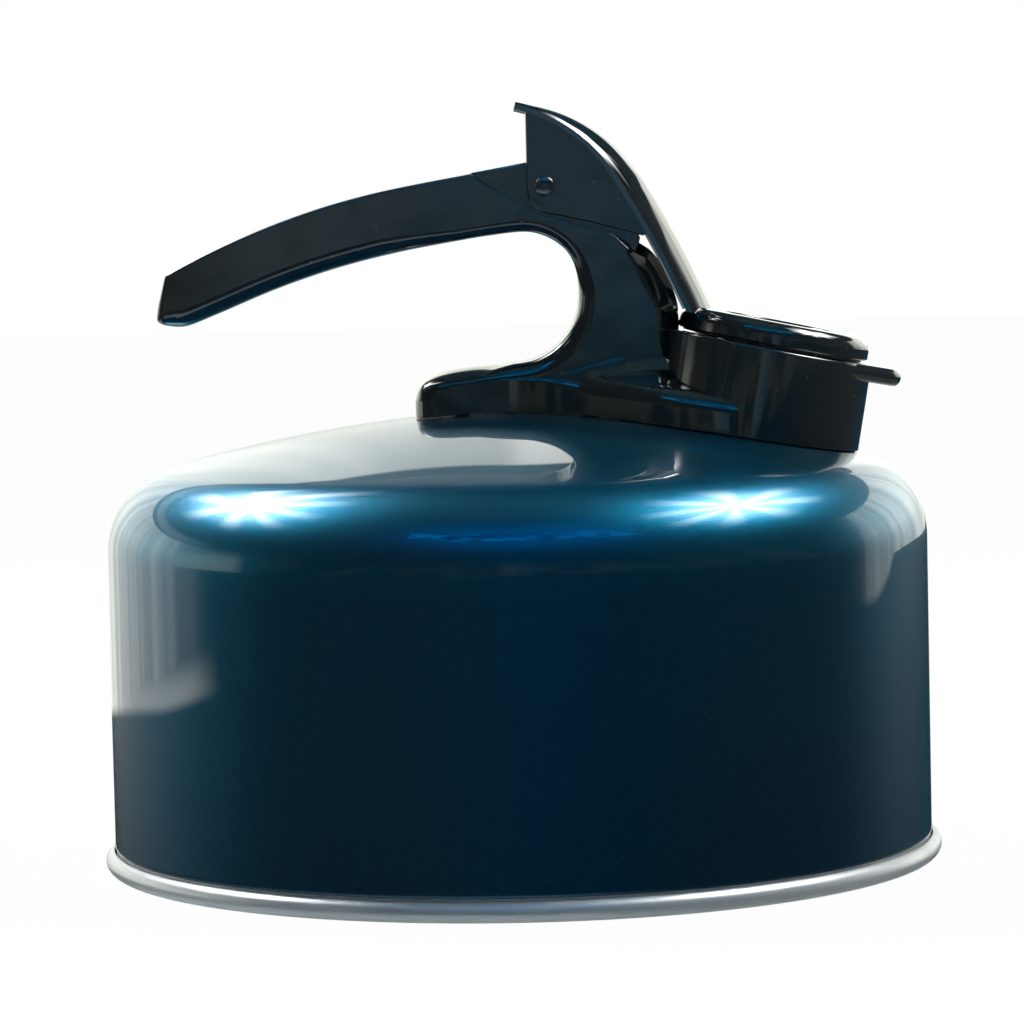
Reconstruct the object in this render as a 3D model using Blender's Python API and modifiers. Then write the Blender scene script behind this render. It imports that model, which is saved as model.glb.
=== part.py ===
"""Whistling camping kettle: a low lacquered aluminium body seamed to its base pan, a one-piece
moulded handle and spout, and a thumb lever that swings the whistle lid off the spout.

Metres, +Z up. The origin is the middle of the base on the standing plane, and +X is the
direction that the spout pours in. Lever and lid turn on the hinge pin, which lies along Y.
"""
import math

import bmesh
import bpy
from mathutils import Matrix, Vector
from mathutils.geometry import tessellate_polygon

# Body of revolution
BODY_RADIUS = 0.0977
BODY_WALL = 0.0010
SHOULDER_START = 0.0758
SHOULDER_RADIUS = 0.0200
DOME_CENTRE_SLOPE = 0.033
DOME_EDGE_SLOPE = 0.262
BODY_SEGMENTS = 48

# Rolled rim and base pan
BEAD_RADIUS = 0.0024
BEAD_WALL = 0.0008
BASE_WALL = 0.0012
BASE_RECESS_DEPTH = 0.0010
BASE_RECESS_RADIUS = 0.0600
FLANGE_WIDTH = 0.0008
FLANGE_WALL = 0.0008

# Clearance between touching pieces
GAP = 0.0003

# Handle, with heights counted from the top of the dome
HANDLE_WIDTH = 0.0220
HUB_WIDTH = 0.0174
GRIP_END_X = -0.0816
GRIP_END_HEIGHT = 0.0340
GRIP_TOP_BENDS = ((0.0580, 10.5, 7), (0.0185, 8.5, 2))
GRIP_TOP_HEADING = 28.5
GRIP_NOSE_X = -0.0838
GRIP_NOSE_HEIGHT = 0.0246
GRIP_LOWEST_X = -0.0797
GRIP_LOWEST_HEIGHT = 0.0216
FINGER_HOLE_RADIUS = 0.0159
FINGER_HOLE_HEIGHT = 0.0270
NECK_SHOULDER = ((0.0053, 0.0466), (0.0212, 0.0418), (0.0243, 0.0412))
NECK_FRONT = ((0.0268, 0.0400), (0.0308, 0.0352), (0.0343, 0.0290), (0.0377, 0.0225), (0.0379, 0.0160))
NECK_CROWN = 0.0030
EDGE_ROUND = 0.0040
HOLE_TOP_ROUND = 0.0026
EDGE_SOFT = 0.0006
TAIL_END_X = -0.0234
TAIL_CENTRE_HEIGHT = 0.0110
TAIL_EDGE_HEIGHT = 0.0084
TAIL_CORNER_RADIUS = 0.0050
TAIL_TOP = ((0.0, 0.66, 0.2, 1.0), (0.0013, 0.80, 0.5, 0.9), (0.0040, 0.91, 0.8, 0.6), (0.0085, 0.975, 1, 0.2),
            (0.0150, 1.0, 1, 0))
SKIRT_START_X = 0.0125
SKIRT_END_X = 0.0500
SKIRT_FILLET = 0.0050

# Spout tub and its mouth
MOUTH_X = 0.0602
MOUTH_HEIGHT = 0.01385
MOUTH_TILT = 12.0
TUB_TILT = 10.0
TUB_RADIUS = 0.02575
LID_OFFSET = 0.0016
BORE_RADIUS = 0.0185
SPIGOT_WALL = 0.0021
SPIGOT_DROP = 0.0070
LIP_REACH = 0.0333
LIP_TIP_RADIUS = 0.0090
LIP_THICKNESS = 0.0040
LIP_PROUD = 0.00015
LIP_SCOOP_RADIUS = 0.0110
LIP_SCOOP_DEPTH = 0.0010
GASKET_WIDTH = 0.0027
GASKET_DEPTH = 0.0016
GASKET_RAW_HEIGHT = 0.0050
LOCK_RING_WIDTH = 0.0043
LOCK_RING_HEIGHT = 0.0045
LOCK_RING_RAW_RISE = 0.0040
TUB_SEGMENTS = 40

# Lever and lid
PIN_X = 0.0084
PIN_HEIGHT = 0.0528
PIN_RADIUS = 0.0015
PIN_HEAD_RADIUS = 0.0024
PIN_HEAD_HEIGHT = 0.0009
PIN_TAIL = 0.0012
RETAINER_RADIUS = 0.0034
RETAINER_WALL = 0.0006
HUB_RADIUS = 0.0064
LEVER_START = (0.0019, 0.0726)
LEVER_HEADING = -14.0
LEVER_BENDS = ((0.0300, -58.0, 8), (0.0385, -67.0, 6))
LEVER_WALL = 0.0019
LEVER_CROWN_TOP = 0.0010
LEVER_CROWN = 0.0049
LEVER_CROWN_RUN = 0.0340
CHEEK_WALL = 0.0017
CHEEK_INSET = 0.0003
CHEEK_TOP_INSET = 0.0001
CHEEK_BACK_X = 0.0042
CHEEK_CORNER_RADIUS = 0.0060
CHEEK_FOOT = ((0.0119, 0.0458), (0.0189, 0.0442), (0.0312, 0.0407))
LID_RADIUS = 0.0229
LID_HEIGHT = 0.0054
LID_EDGE_ROUND = 0.0032
LID_LIFT = 0.0008
LID_RECESS_RADIUS = 0.01365
LID_RECESS_DEPTH = 0.0016
LID_WALL = 0.0018
LID_RIM_WIDTH = 0.0049
SEAL_INNER_RADIUS = 0.0192
SEAL_WIDTH = 0.0024
SEAL_DEPTH = 0.0013

# Whistle
WHISTLE_RADIUS = 0.0110
WHISTLE_WALL = 0.0005
WHISTLE_DEPTH = 0.0062
WHISTLE_HOLE_RADIUS = 0.0025
WHISTLE_CAP_WALL = 0.0006
WHISTLE_CLIP_WIDTH = 0.0018
WHISTLE_CLIP_WALL = 0.0006

# Return spring of the lever
SPRING_WIRE_RADIUS = 0.0005
SPRING_COIL_RADIUS = 0.0030
SPRING_TURNS = 5
SPRING_PITCH = 0.00150
SPRING_POINTS_PER_TURN = 9
SPRING_FOOT_ANGLE = -100.0
SPRING_LEG_ANGLE = -18.0
SPRING_LEG = 0.0125
SPRING_FOOT = 0.0050
SPRING_SLOT_BACK = 0.0062
RIB_ROOM = 0.0004
RIB_WALL = 0.0020
RIB_HALF_WIDTH = 0.0060
RIB_DROP = 0.0050

# Screws that hold the handle from inside
SCREW_XS = (-0.0125, 0.0185)
SCREW_RADIUS = 0.0020
SCREW_DEPTH = 0.0075
SCREW_HEAD_RADIUS = 0.0036
SCREW_HEAD_HEIGHT = 0.0024
SCREW_SLOT_WIDTH = 0.0009
SCREW_SLOT_DEPTH = 0.0011
INSERT_WALL = 0.0010
INSERT_LENGTH = 0.0065
WASHER_RADIUS = 0.0046
WASHER_WALL = 0.0007
SCREW_SEAL_WALL = 0.0010


def shoulder_edge():
    """Radius and height where the shoulder's arc runs into the dome."""
    lean = math.atan(DOME_EDGE_SLOPE)
    radius = BODY_RADIUS - SHOULDER_RADIUS + SHOULDER_RADIUS * math.sin(lean)
    return radius, SHOULDER_START + SHOULDER_RADIUS * math.cos(lean)


EDGE_RADIUS, EDGE_HEIGHT = shoulder_edge()
APEX = EDGE_HEIGHT + EDGE_RADIUS * (DOME_CENTRE_SLOPE + DOME_EDGE_SLOPE) / 2


def dome_slope(radius):
    """Fall of the dome per metre of radius, growing evenly from the middle to the shoulder."""
    return DOME_CENTRE_SLOPE + (DOME_EDGE_SLOPE - DOME_CENTRE_SLOPE) * radius / EDGE_RADIUS


def dome_height(radius):
    """Height of the body's outer surface at a radius, on the dome or the shoulder."""
    if radius <= EDGE_RADIUS:
        return APEX - radius * (DOME_CENTRE_SLOPE + dome_slope(radius)) / 2
    across = (radius - (BODY_RADIUS - SHOULDER_RADIUS)) / SHOULDER_RADIUS
    return SHOULDER_START + SHOULDER_RADIUS * math.sqrt(max(0.0, 1.0 - across * across))


def above_apex(x, height):
    """A side-view point of the handle, in world X and Z."""
    return x, APEX + height


def arc(centre, radius, start, end, steps):
    """Points on an arc, with angles in degrees counted from +X towards +Z."""
    angles = [math.radians(start + (end - start) * i / steps) for i in range(steps + 1)]
    return [(centre[0] + radius * math.cos(a), centre[1] + radius * math.sin(a)) for a in angles]


def bend_path(start, heading, bends):
    """Points along runs of (length, heading at the end, steps), turning evenly in each run."""
    points = [start]
    for length, end_heading, steps in bends:
        for i in range(steps):
            angle = math.radians(heading + (end_heading - heading) * (i + 0.5) / steps)
            x, z = points[-1]
            points.append((x + length / steps * math.cos(angle), z + length / steps * math.sin(angle)))
        heading = end_heading
    return points


def outward_normals(outline):
    """Unit normals of a closed outline that runs clockwise in side view."""
    normals = []
    for i, _ in enumerate(outline):
        before, after = outline[i - 1], outline[(i + 1) % len(outline)]
        along = Vector((after[0] - before[0], after[1] - before[1])).normalized()
        normals.append((-along[1], along[0]))
    return normals


def offset_line(points, distance):
    """An open line moved by a distance to the right of its run."""
    moved = []
    for i, point in enumerate(points):
        before, after = points[max(i - 1, 0)], points[min(i + 1, len(points) - 1)]
        along = Vector((after[0] - before[0], after[1] - before[1])).normalized()
        moved.append((point[0] + along[1] * distance, point[1] - along[0] * distance))
    return moved


def tilted_frame(x, z, tilt):
    """A frame at (x, 0, z) whose Z leans towards +X by a tilt in degrees."""
    return Matrix.Translation((x, 0, z)) @ Matrix.Rotation(math.radians(tilt), 4, "Y")


MOUTH = tilted_frame(MOUTH_X, APEX + MOUTH_HEIGHT, MOUTH_TILT)
MOUTH_MIDDLE = MOUTH @ Vector((LID_OFFSET, 0, 0))
TUB = tilted_frame(MOUTH_X, APEX + MOUTH_HEIGHT, TUB_TILT)
SPOUT = tilted_frame(MOUTH_MIDDLE.x, MOUTH_MIDDLE.z, TUB_TILT)
LID = MOUTH @ Matrix.Translation((LID_OFFSET, 0, LID_LIFT))
PIN = tilted_frame(PIN_X, APEX + PIN_HEIGHT, 0)
SPIGOT_RADIUS = BORE_RADIUS + SPIGOT_WALL
HALF_WIDTH = HANDLE_WIDTH / 2
HUB_HALF = HUB_WIDTH / 2
CHEEK_INNER = HUB_HALF + GAP
CHEEK_OUTER = CHEEK_INNER + CHEEK_WALL


def spout_crossing():
    """Distance down the spout's axis from the mouth to the dome's outer surface."""
    axis = SPOUT.to_3x3() @ Vector((0, 0, -1))
    low, high = 0.0, 0.06
    for _ in range(40):
        middle = (low + high) / 2
        point = SPOUT.translation + axis * middle
        low, high = (middle, high) if point.z > dome_height(math.hypot(point.x, point.y)) else (low, middle)
    return low


SPOUT_DEPTH = spout_crossing()


def clear_scene():
    for existing in list(bpy.data.objects):
        bpy.data.objects.remove(existing, do_unlink=True)


def new_collection(name):
    collection = bpy.data.collections.new(name)
    bpy.context.scene.collection.children.link(collection)
    return collection


def new_material(name, colour, roughness, metallic):
    material = bpy.data.materials.new(name)
    material.use_nodes = True
    shader = material.node_tree.nodes["Principled BSDF"]
    shader.inputs["Base Color"].default_value = (*colour, 1.0)
    shader.inputs["Roughness"].default_value = roughness
    shader.inputs["Metallic"].default_value = metallic
    return material


clear_scene()
PARTS = new_collection("camping_kettle")
CUTTERS = new_collection("cutters")


def add_object(name, mesh, material=None):
    """A part where a material is given, and otherwise a cutter or a guide."""
    obj = bpy.data.objects.new(name, mesh)
    if material is None:
        CUTTERS.objects.link(obj)
        obj.hide_render = True
        obj.display_type = "WIRE"
    else:
        PARTS.objects.link(obj)
        mesh.materials.append(material)
    return obj


def finish_mesh(name, bm):
    mesh = bpy.data.meshes.new(name)
    bmesh.ops.recalc_face_normals(bm, faces=bm.faces)
    bm.to_mesh(mesh)
    bm.free()
    mesh.shade_smooth()
    mesh.set_sharp_from_angle(angle=math.radians(35))
    return mesh


def turned(name, profile, frame, segments, material=None, closed=False):
    """A profile of (radius, height) points turned about the frame's Z."""
    mesh = bpy.data.meshes.new(name)
    edges = [(i, i + 1) for i in range(len(profile) - 1)]
    if closed:
        edges.append((len(profile) - 1, 0))
    mesh.from_pydata([(radius, 0, height) for radius, height in profile], edges, [])
    obj = add_object(name, mesh, material)
    screw = obj.modifiers.new("turn", "SCREW")
    screw.steps = segments
    screw.render_steps = segments
    screw.use_merge_vertices = True
    screw.merge_threshold = 0.000001
    screw.use_smooth_shade = True
    obj.matrix_world = frame
    return obj


def ring(name, inner, outer, low, high, frame, segments, material=None):
    profile = [(inner, high), (outer, high), (outer, low), (inner, low)]
    return turned(name, profile, frame, segments, material, closed=True)


def cylinder(name, radius, low, high, frame, segments, material=None):
    bm = bmesh.new()
    bmesh.ops.create_cone(bm, cap_ends=True, segments=segments, radius1=radius, radius2=radius, depth=high - low)
    bmesh.ops.translate(bm, vec=(0, 0, (low + high) / 2), verts=bm.verts)
    obj = add_object(name, finish_mesh(name, bm), material)
    obj.matrix_world = frame
    return obj


def block(name, low, high, frame):
    bm = bmesh.new()
    bmesh.ops.create_cube(bm, size=1.0)
    size = [high[i] - low[i] for i in range(3)]
    middle = [(high[i] + low[i]) / 2 for i in range(3)]
    bmesh.ops.scale(bm, vec=size, verts=bm.verts)
    bmesh.ops.translate(bm, vec=middle, verts=bm.verts)
    obj = add_object(name, finish_mesh(name, bm))
    obj.matrix_world = frame
    return obj


def lofted(name, rings, material=None):
    """A solid skinned over rings of as many points each, with flat ends."""
    bm = bmesh.new()
    loops = [[bm.verts.new(point) for point in points] for points in rings]
    count = len(rings[0])
    for near, far in zip(loops, loops[1:]):
        for i in range(count):
            j = (i + 1) % count
            bm.faces.new((near[i], near[j], far[j], far[i]))
    bmesh.ops.triangulate(bm, faces=bm.faces)
    for loop in (loops[0], loops[-1]):
        for a, b, c in tessellate_polygon([[vert.co for vert in loop]]):
            bm.faces.new((loop[a], loop[b], loop[c]))
    return add_object(name, finish_mesh(name, bm), material)


def extruded(name, outline, low, high):
    """A flat outline in side view given thickness in Y, from -high to -low."""
    curve = bpy.data.curves.new(name, "CURVE")
    curve.dimensions = "2D"
    curve.fill_mode = "BOTH"
    curve.extrude = (high - low) / 2
    spline = curve.splines.new("POLY")
    spline.points.add(len(outline) - 1)
    for point, (u, v) in zip(spline.points, outline):
        point.co = (u, v, 0, 1)
    spline.use_cyclic_u = True
    source = bpy.data.objects.new(name, curve)
    CUTTERS.objects.link(source)
    bpy.context.view_layer.update()
    mesh = bpy.data.meshes.new_from_object(source.evaluated_get(bpy.context.evaluated_depsgraph_get()))
    bpy.data.objects.remove(source, do_unlink=True)
    bm = bmesh.new()
    bm.from_mesh(mesh)
    bmesh.ops.remove_doubles(bm, verts=bm.verts, dist=0.000001)
    bmesh.ops.translate(bm, vec=(0, 0, (low + high) / 2), verts=bm.verts)
    obj = add_object(name, finish_mesh(name, bm))
    obj.matrix_world = Matrix.Rotation(math.pi / 2, 4, "X")
    return obj


def cut(obj, tool):
    modifier = obj.modifiers.new("cut " + tool.name, "BOOLEAN")
    modifier.operation = "DIFFERENCE"
    modifier.object = tool


def join(obj, tool):
    modifier = obj.modifiers.new("join " + tool.name, "BOOLEAN")
    modifier.operation = "UNION"
    modifier.object = tool


def keep(obj, tool):
    modifier = obj.modifiers.new("keep " + tool.name, "BOOLEAN")
    modifier.operation = "INTERSECT"
    modifier.object = tool


def body_line(steps_dome, steps_shoulder):
    """The outer surface from the apex to the top of the straight wall."""
    points = [(EDGE_RADIUS * i / steps_dome, dome_height(EDGE_RADIUS * i / steps_dome)) for i in range(steps_dome)]
    lean = 90 - math.degrees(math.atan(DOME_EDGE_SLOPE))
    centre = (BODY_RADIUS - SHOULDER_RADIUS, SHOULDER_START)
    return points + arc(centre, SHOULDER_RADIUS, lean, 0, steps_shoulder)


def body_under(name, raise_by):
    """A turned solid that fills the body up to its outer surface raised by a distance."""
    line = offset_line(body_line(14, 6), -raise_by)
    line[0] = (0, line[0][1])
    floor = SHOULDER_START * 0.6
    return turned(name, line + [(line[-1][0], floor), (0, floor)], Matrix.Identity(4), 2 * BODY_SEGMENTS)


def make_body(material):
    """Drawn shell: dome, shoulder, wall and the flange that the rolled rim grips."""
    outer = body_line(14, 6)
    inner = offset_line(outer, BODY_WALL)
    inner[0] = (0, inner[0][1])
    flange_low = BEAD_RADIUS - FLANGE_WALL
    flange_edge = BODY_RADIUS + FLANGE_WIDTH
    foot = [(BODY_RADIUS, BEAD_RADIUS), (flange_edge, BEAD_RADIUS), (flange_edge, flange_low)]
    foot.append((BODY_RADIUS - BODY_WALL, flange_low))
    shell = turned("body_shell", outer + foot + inner[::-1], Matrix.Identity(4), BODY_SEGMENTS, material)
    hole = cylinder("spout_hole", SPIGOT_RADIUS + GAP, -SPOUT_DEPTH - 0.02, -SPOUT_DEPTH + 0.02, SPOUT, TUB_SEGMENTS)
    cut(shell, hole)
    for i, x in enumerate(SCREW_XS):
        cut(shell, cylinder(f"screw_hole_{i}", SCREW_RADIUS + GAP, -0.006, 0.006, screw_frame(x), 12))
    return shell


def make_base(material):
    """Base pan with a raised middle and a rim rolled round the body's flange."""
    centre = (BODY_RADIUS - 0.0001, BEAD_RADIUS)
    inner = BEAD_RADIUS - BEAD_WALL
    mouth = BODY_RADIUS + GAP - centre[0]
    start = -180 - math.degrees(math.asin((BASE_WALL - BEAD_RADIUS) / inner))
    inside = arc(centre, inner, start, math.degrees(math.acos(mouth / inner)), 9)
    outside = arc(centre, BEAD_RADIUS, math.degrees(math.acos(mouth / BEAD_RADIUS)), -90, 8)
    slope = BASE_RECESS_DEPTH * 2.5
    top = [(0, BASE_RECESS_DEPTH + BASE_WALL), (BASE_RECESS_RADIUS - slope, BASE_RECESS_DEPTH + BASE_WALL)]
    top.append((BASE_RECESS_RADIUS, BASE_WALL))
    under = [(BASE_RECESS_RADIUS, 0), (BASE_RECESS_RADIUS - slope, BASE_RECESS_DEPTH), (0, BASE_RECESS_DEPTH)]
    return turned("base_pan", top + inside + outside + under, Matrix.Identity(4), BODY_SEGMENTS, material)


def make_seam_seal(material):
    """Sealing ring that the roll presses on the flange, outside the wall."""
    inner = BODY_RADIUS + GAP
    low = BEAD_RADIUS + GAP
    return ring("seam_seal", inner, inner + 0.0006, low, low + 0.0004, Matrix.Identity(4), BODY_SEGMENTS, material)


def screw_frame(x):
    """A frame on the dome's outer surface at (x, 0), with its Z along the surface's normal."""
    lean = math.degrees(math.atan(dome_slope(abs(x)))) * (1 if x > 0 else -1)
    return tilted_frame(x, dome_height(abs(x)), lean)


def finger_hole():
    """The arc that closes the finger hole towards the spout, from the tail up to the grip."""
    return arc(above_apex(0, FINGER_HOLE_HEIGHT), FINGER_HOLE_RADIUS, -90, 90, 12)


def grip_underside(start):
    """From the finger hole to the lowest point of the grip, as a smooth curve."""
    end = above_apex(GRIP_LOWEST_X, GRIP_LOWEST_HEIGHT)
    control = (start[0] + 0.46 * (end[0] - start[0]), start[1])
    points = []
    for i in range(1, 9):
        t = i / 8
        points.append(tuple((1 - t) ** 2 * start[k] + 2 * t * (1 - t) * control[k] + t * t * end[k] for k in (0, 1)))
    return points


def arm_outline():
    """Side view of grip, neck and tail, clockwise, as (x, z, crown, edge radius, plan round)."""
    top = bend_path(above_apex(GRIP_END_X, GRIP_END_HEIGHT), GRIP_TOP_HEADING, GRIP_TOP_BENDS)
    outline = [(x, z, 0.0003, EDGE_SOFT, 0) for x, z in top]
    outline += [(*above_apex(*point), 0.0, 0.0002, 0) for point in NECK_SHOULDER]
    outline += [(*above_apex(*point), NECK_CROWN, 0.0002, 0) for point in NECK_FRONT]
    outline += [(*above_apex(0.040, -0.012), 0, 0, 0), (*above_apex(TAIL_END_X, -0.012), 0, 0, 1)]
    outline.append((TAIL_END_X, dome_height(-TAIL_END_X) + TAIL_EDGE_HEIGHT * 0.5, 0, 0, 1))
    edge = TAIL_CENTRE_HEIGHT - TAIL_EDGE_HEIGHT
    for along, height, fall, plan in TAIL_TOP:
        x = TAIL_END_X + along
        outline.append((x, dome_height(-x) + TAIL_CENTRE_HEIGHT * height, edge * fall, 0.0008, plan))
    hole = finger_hole()
    rounds = [EDGE_ROUND if z < APEX + FINGER_HOLE_HEIGHT else HOLE_TOP_ROUND for _, z in hole]
    outline += [(x, z, 0.0, round_off, 0) for (x, z), round_off in zip(hole, rounds)]
    under = grip_underside(hole[-1])
    for i, (x, z) in enumerate(under):
        round_off = HOLE_TOP_ROUND + (EDGE_ROUND - HOLE_TOP_ROUND) * min(1.0, (i + 1) / 3)
        outline.append((x, z, 0.0, round_off, 0))
    nose_x, nose_z = above_apex(GRIP_NOSE_X, GRIP_NOSE_HEIGHT)
    low_z = APEX + GRIP_LOWEST_HEIGHT
    outline.append((GRIP_NOSE_X + 0.0009, low_z + 0.0008, 0.0, EDGE_ROUND * 0.6, 0))
    outline.append((nose_x, nose_z, 0.0, EDGE_ROUND * 0.4, 0))
    return outline


def edge_drop(radius, depth):
    """How far a rounded edge has fallen at a depth in from the side face."""
    if radius <= 0 or depth >= radius:
        return 0.0
    return radius - math.sqrt(radius * radius - (radius - depth) ** 2)


def make_arm():
    """Grip, neck and tail, skinned from side to side with crowned faces and rounded edges."""
    outline = arm_outline()
    normals = outward_normals([(x, z) for x, z, _, _, _ in outline])
    depths = (0.0, 0.00012, 0.0006, 0.0014, 0.0025, 0.0042, 0.0072)
    stations = [-HALF_WIDTH + d for d in depths] + [0.0] + [HALF_WIDTH - d for d in depths[::-1]]
    rings = []
    for y in stations:
        depth = HALF_WIDTH - abs(y)
        points = []
        for (x, z, crown, radius, plan), (nx, nz) in zip(outline, normals):
            fall = crown * (y / HALF_WIDTH) ** 2 + edge_drop(radius, depth)
            shift = plan * edge_drop(TAIL_CORNER_RADIUS, depth)
            points.append((x - nx * fall + shift, y, z - nz * fall))
        rings.append(points)
    return rings


def skirt_half_width(x):
    """Half-width of the base, which flares from the tail's width to the tub's."""
    t = min(max((x - SKIRT_START_X) / (SKIRT_END_X - SKIRT_START_X), 0.0), 1.0)
    return HALF_WIDTH - 0.0004 + (TUB_RADIUS - HALF_WIDTH) * t * t * (3 - 2 * t)


def make_skirt():
    """The flare of the base round the tub, crowned on top and standing in the dome."""
    rings = []
    for i in range(11):
        x = SKIRT_START_X + (SKIRT_END_X - SKIRT_START_X) * i / 10
        half = skirt_half_width(x)
        edge = dome_height(math.hypot(x, half)) + TAIL_EDGE_HEIGHT
        middle = dome_height(x) + TAIL_CENTRE_HEIGHT
        floor = APEX - 0.016
        core = HALF_WIDTH - 0.0006
        fillet = SKIRT_FILLET * min(1.0, (half - core) / 0.008) * min(1.0, max(0.0, (0.044 - x) / 0.008))
        side = []
        for share in (1.0, 0.8, 0.6, 0.42, 0.26, 0.12, 0.0):
            y = core + (half - core) * share
            rise = (middle - edge) * (1 - (y / half) ** 2) + fillet * (1 - share) ** 3
            side.append((y, edge + rise))
        far = [(x, y, z) for y, z in side]
        near = [(x, -y, z) for y, z in side]
        rings.append([(x, -half, floor), *near, *far[::-1], (x, half, floor)])
    return rings


def hub_outline():
    """The narrower part between the lever's cheeks, round the pin."""
    pin = above_apex(PIN_X, PIN_HEIGHT)
    top = bend_path(above_apex(GRIP_END_X, GRIP_END_HEIGHT), GRIP_TOP_HEADING, GRIP_TOP_BENDS)
    behind = [above_apex(*point) for point in ((0.006, 0.0435), (-0.010, 0.0440), (-0.013, 0.0500))]
    return [top[-1], *arc(pin, HUB_RADIUS, 105, -35, 7), above_apex(0.0180, 0.0400)] + behind


def tub_solid():
    """The spout's round wall, with its top ring on the plane of the mouth."""
    bm = bmesh.new()
    bmesh.ops.create_cone(bm, cap_ends=True, segments=TUB_SEGMENTS, radius1=TUB_RADIUS, radius2=TUB_RADIUS, depth=1.0)
    lean = math.tan(math.radians(MOUTH_TILT - TUB_TILT))
    floor = -SPOUT_DEPTH - 0.009
    for vert in bm.verts:
        vert.co.z = -vert.co.x * lean if vert.co.z > 0 else floor
    tub = add_object("tub_guide", finish_mesh("tub_guide", bm))
    tub.matrix_world = TUB
    return tub


def lip_rings():
    """The pouring lip in the mouth's plane: two tangents from the tub to a round tip, edges rounded."""
    tip = LIP_REACH - LIP_TIP_RADIUS
    spread = math.degrees(math.acos((TUB_RADIUS - LIP_TIP_RADIUS) / tip))
    sections = [(0.0, 0.0008), (0.0003, 0.0003), (0.0010, 0.0), (LIP_THICKNESS - 0.0018, 0.0)]
    sections += [(LIP_THICKNESS - 0.0006, 0.0007), (LIP_THICKNESS, 0.0018)]
    rings = []
    for depth, shrink in sections:
        outline = arc((0, 0), TUB_RADIUS - 0.0035, spread, -spread, 5)
        outline.append(arc((0, 0), TUB_RADIUS - shrink, -spread, 0, 1)[0])
        outline += arc((tip, 0), LIP_TIP_RADIUS - shrink, -spread, spread, 7)
        outline.append(arc((0, 0), TUB_RADIUS - shrink, spread, 0, 1)[0])
        rings.append([MOUTH @ Vector((u, v, LIP_PROUD - depth)) for u, v in outline])
    return rings


def make_handle(material):
    """One moulding: grip, neck, tail, skirt, spout tub, pouring lip and spigot."""
    handle = lofted("handle_and_spout", make_arm(), material)
    join(handle, lofted("skirt_guide", make_skirt()))
    join(handle, extruded("hub_guide", hub_outline(), -HUB_HALF, HUB_HALF))
    join(handle, tub_solid())
    join(handle, lofted("lip_guide", lip_rings()))
    cut(handle, body_under("seat_cutter", GAP))
    groove = SPIGOT_RADIUS + GASKET_WIDTH + 2 * GAP
    top = -SPOUT_DEPTH + GASKET_DEPTH
    cut(handle, cylinder("groove_cutter", groove, top - 0.012, top, SPOUT, TUB_SEGMENTS))
    spigot_low = -SPOUT_DEPTH - SPIGOT_DROP
    join(handle, cylinder("spigot_guide", SPIGOT_RADIUS, spigot_low, top + 0.004, SPOUT, TUB_SEGMENTS))
    cut(handle, cylinder("bore_cutter", BORE_RADIUS, spigot_low - 0.01, 0.02, SPOUT, TUB_SEGMENTS))
    scoop_frame = MOUTH @ Matrix.Translation((0, 0, LIP_SCOOP_RADIUS - LIP_SCOOP_DEPTH))
    scoop_frame = scoop_frame @ Matrix.Rotation(math.pi / 2, 4, "Y")
    start = LID_OFFSET + LID_RADIUS + 0.0004
    cut(handle, cylinder("scoop_cutter", LIP_SCOOP_RADIUS, start, 0.05, scoop_frame, 28))
    pin_axis = PIN @ Matrix.Rotation(math.pi / 2, 4, "X")
    cut(handle, cylinder("pin_hole", PIN_RADIUS + GAP, -0.02, 0.02, pin_axis, 18))
    slot_half = SPRING_TURNS * SPRING_PITCH / 2 + SPRING_WIRE_RADIUS + 2 * GAP
    floor = -SPRING_COIL_RADIUS - SPRING_WIRE_RADIUS - GAP
    cut(handle, block("spring_slot", (-SPRING_SLOT_BACK, -slot_half, floor), (0.015, slot_half, 0.015), PIN))
    for i, x in enumerate(SCREW_XS):
        radius = SCREW_RADIUS + GAP + INSERT_WALL + GAP
        cut(handle, cylinder(f"insert_pocket_{i}", radius, -0.004, INSERT_LENGTH + 2 * GAP, screw_frame(x), 16))
    return handle


def make_screws(steel, silicone, brass):
    """Screws from inside the body, each with a washer, a seal and a brass insert in the moulding."""
    inside = -BODY_WALL - GAP
    seal_low = inside - SCREW_SEAL_WALL
    washer_top = seal_low - GAP
    washer_low = washer_top - WASHER_WALL
    head_top = washer_low - GAP
    head_low = head_top - SCREW_HEAD_HEIGHT
    bore = SCREW_RADIUS + GAP
    profile = [(0, SCREW_DEPTH - 0.001), (SCREW_RADIUS * 0.6, SCREW_DEPTH - 0.001)]
    profile += [(SCREW_RADIUS, SCREW_DEPTH - 0.002), (SCREW_RADIUS, head_top), (SCREW_HEAD_RADIUS, head_top)]
    profile += [(SCREW_HEAD_RADIUS, head_low + 0.001), (SCREW_HEAD_RADIUS * 0.7, head_low), (0, head_low)]
    rings = (("screw_seal", WASHER_RADIUS, seal_low, inside, silicone),
             ("screw_washer", WASHER_RADIUS, washer_low, washer_top, steel),
             ("screw_insert", bore + INSERT_WALL, 2 * GAP, GAP + INSERT_LENGTH, brass))
    for place, x in zip(("rear", "front"), SCREW_XS):
        frame = screw_frame(x)
        screw = turned("handle_screw_" + place, profile, frame, 16, steel)
        for k, turn in enumerate((0, 90)):
            low = (-SCREW_HEAD_RADIUS * 0.6, -SCREW_SLOT_WIDTH / 2, head_low - 0.001)
            high = (SCREW_HEAD_RADIUS * 0.6, SCREW_SLOT_WIDTH / 2, head_low + SCREW_SLOT_DEPTH)
            turn_frame = frame @ Matrix.Rotation(math.radians(turn), 4, "Z")
            cut(screw, block(f"cross_{place}_{k}", low, high, turn_frame))
        for name, outer, low, high, material in rings:
            ring(f"{name}_{place}", bore, outer, low, high, frame, 16, material)


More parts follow.
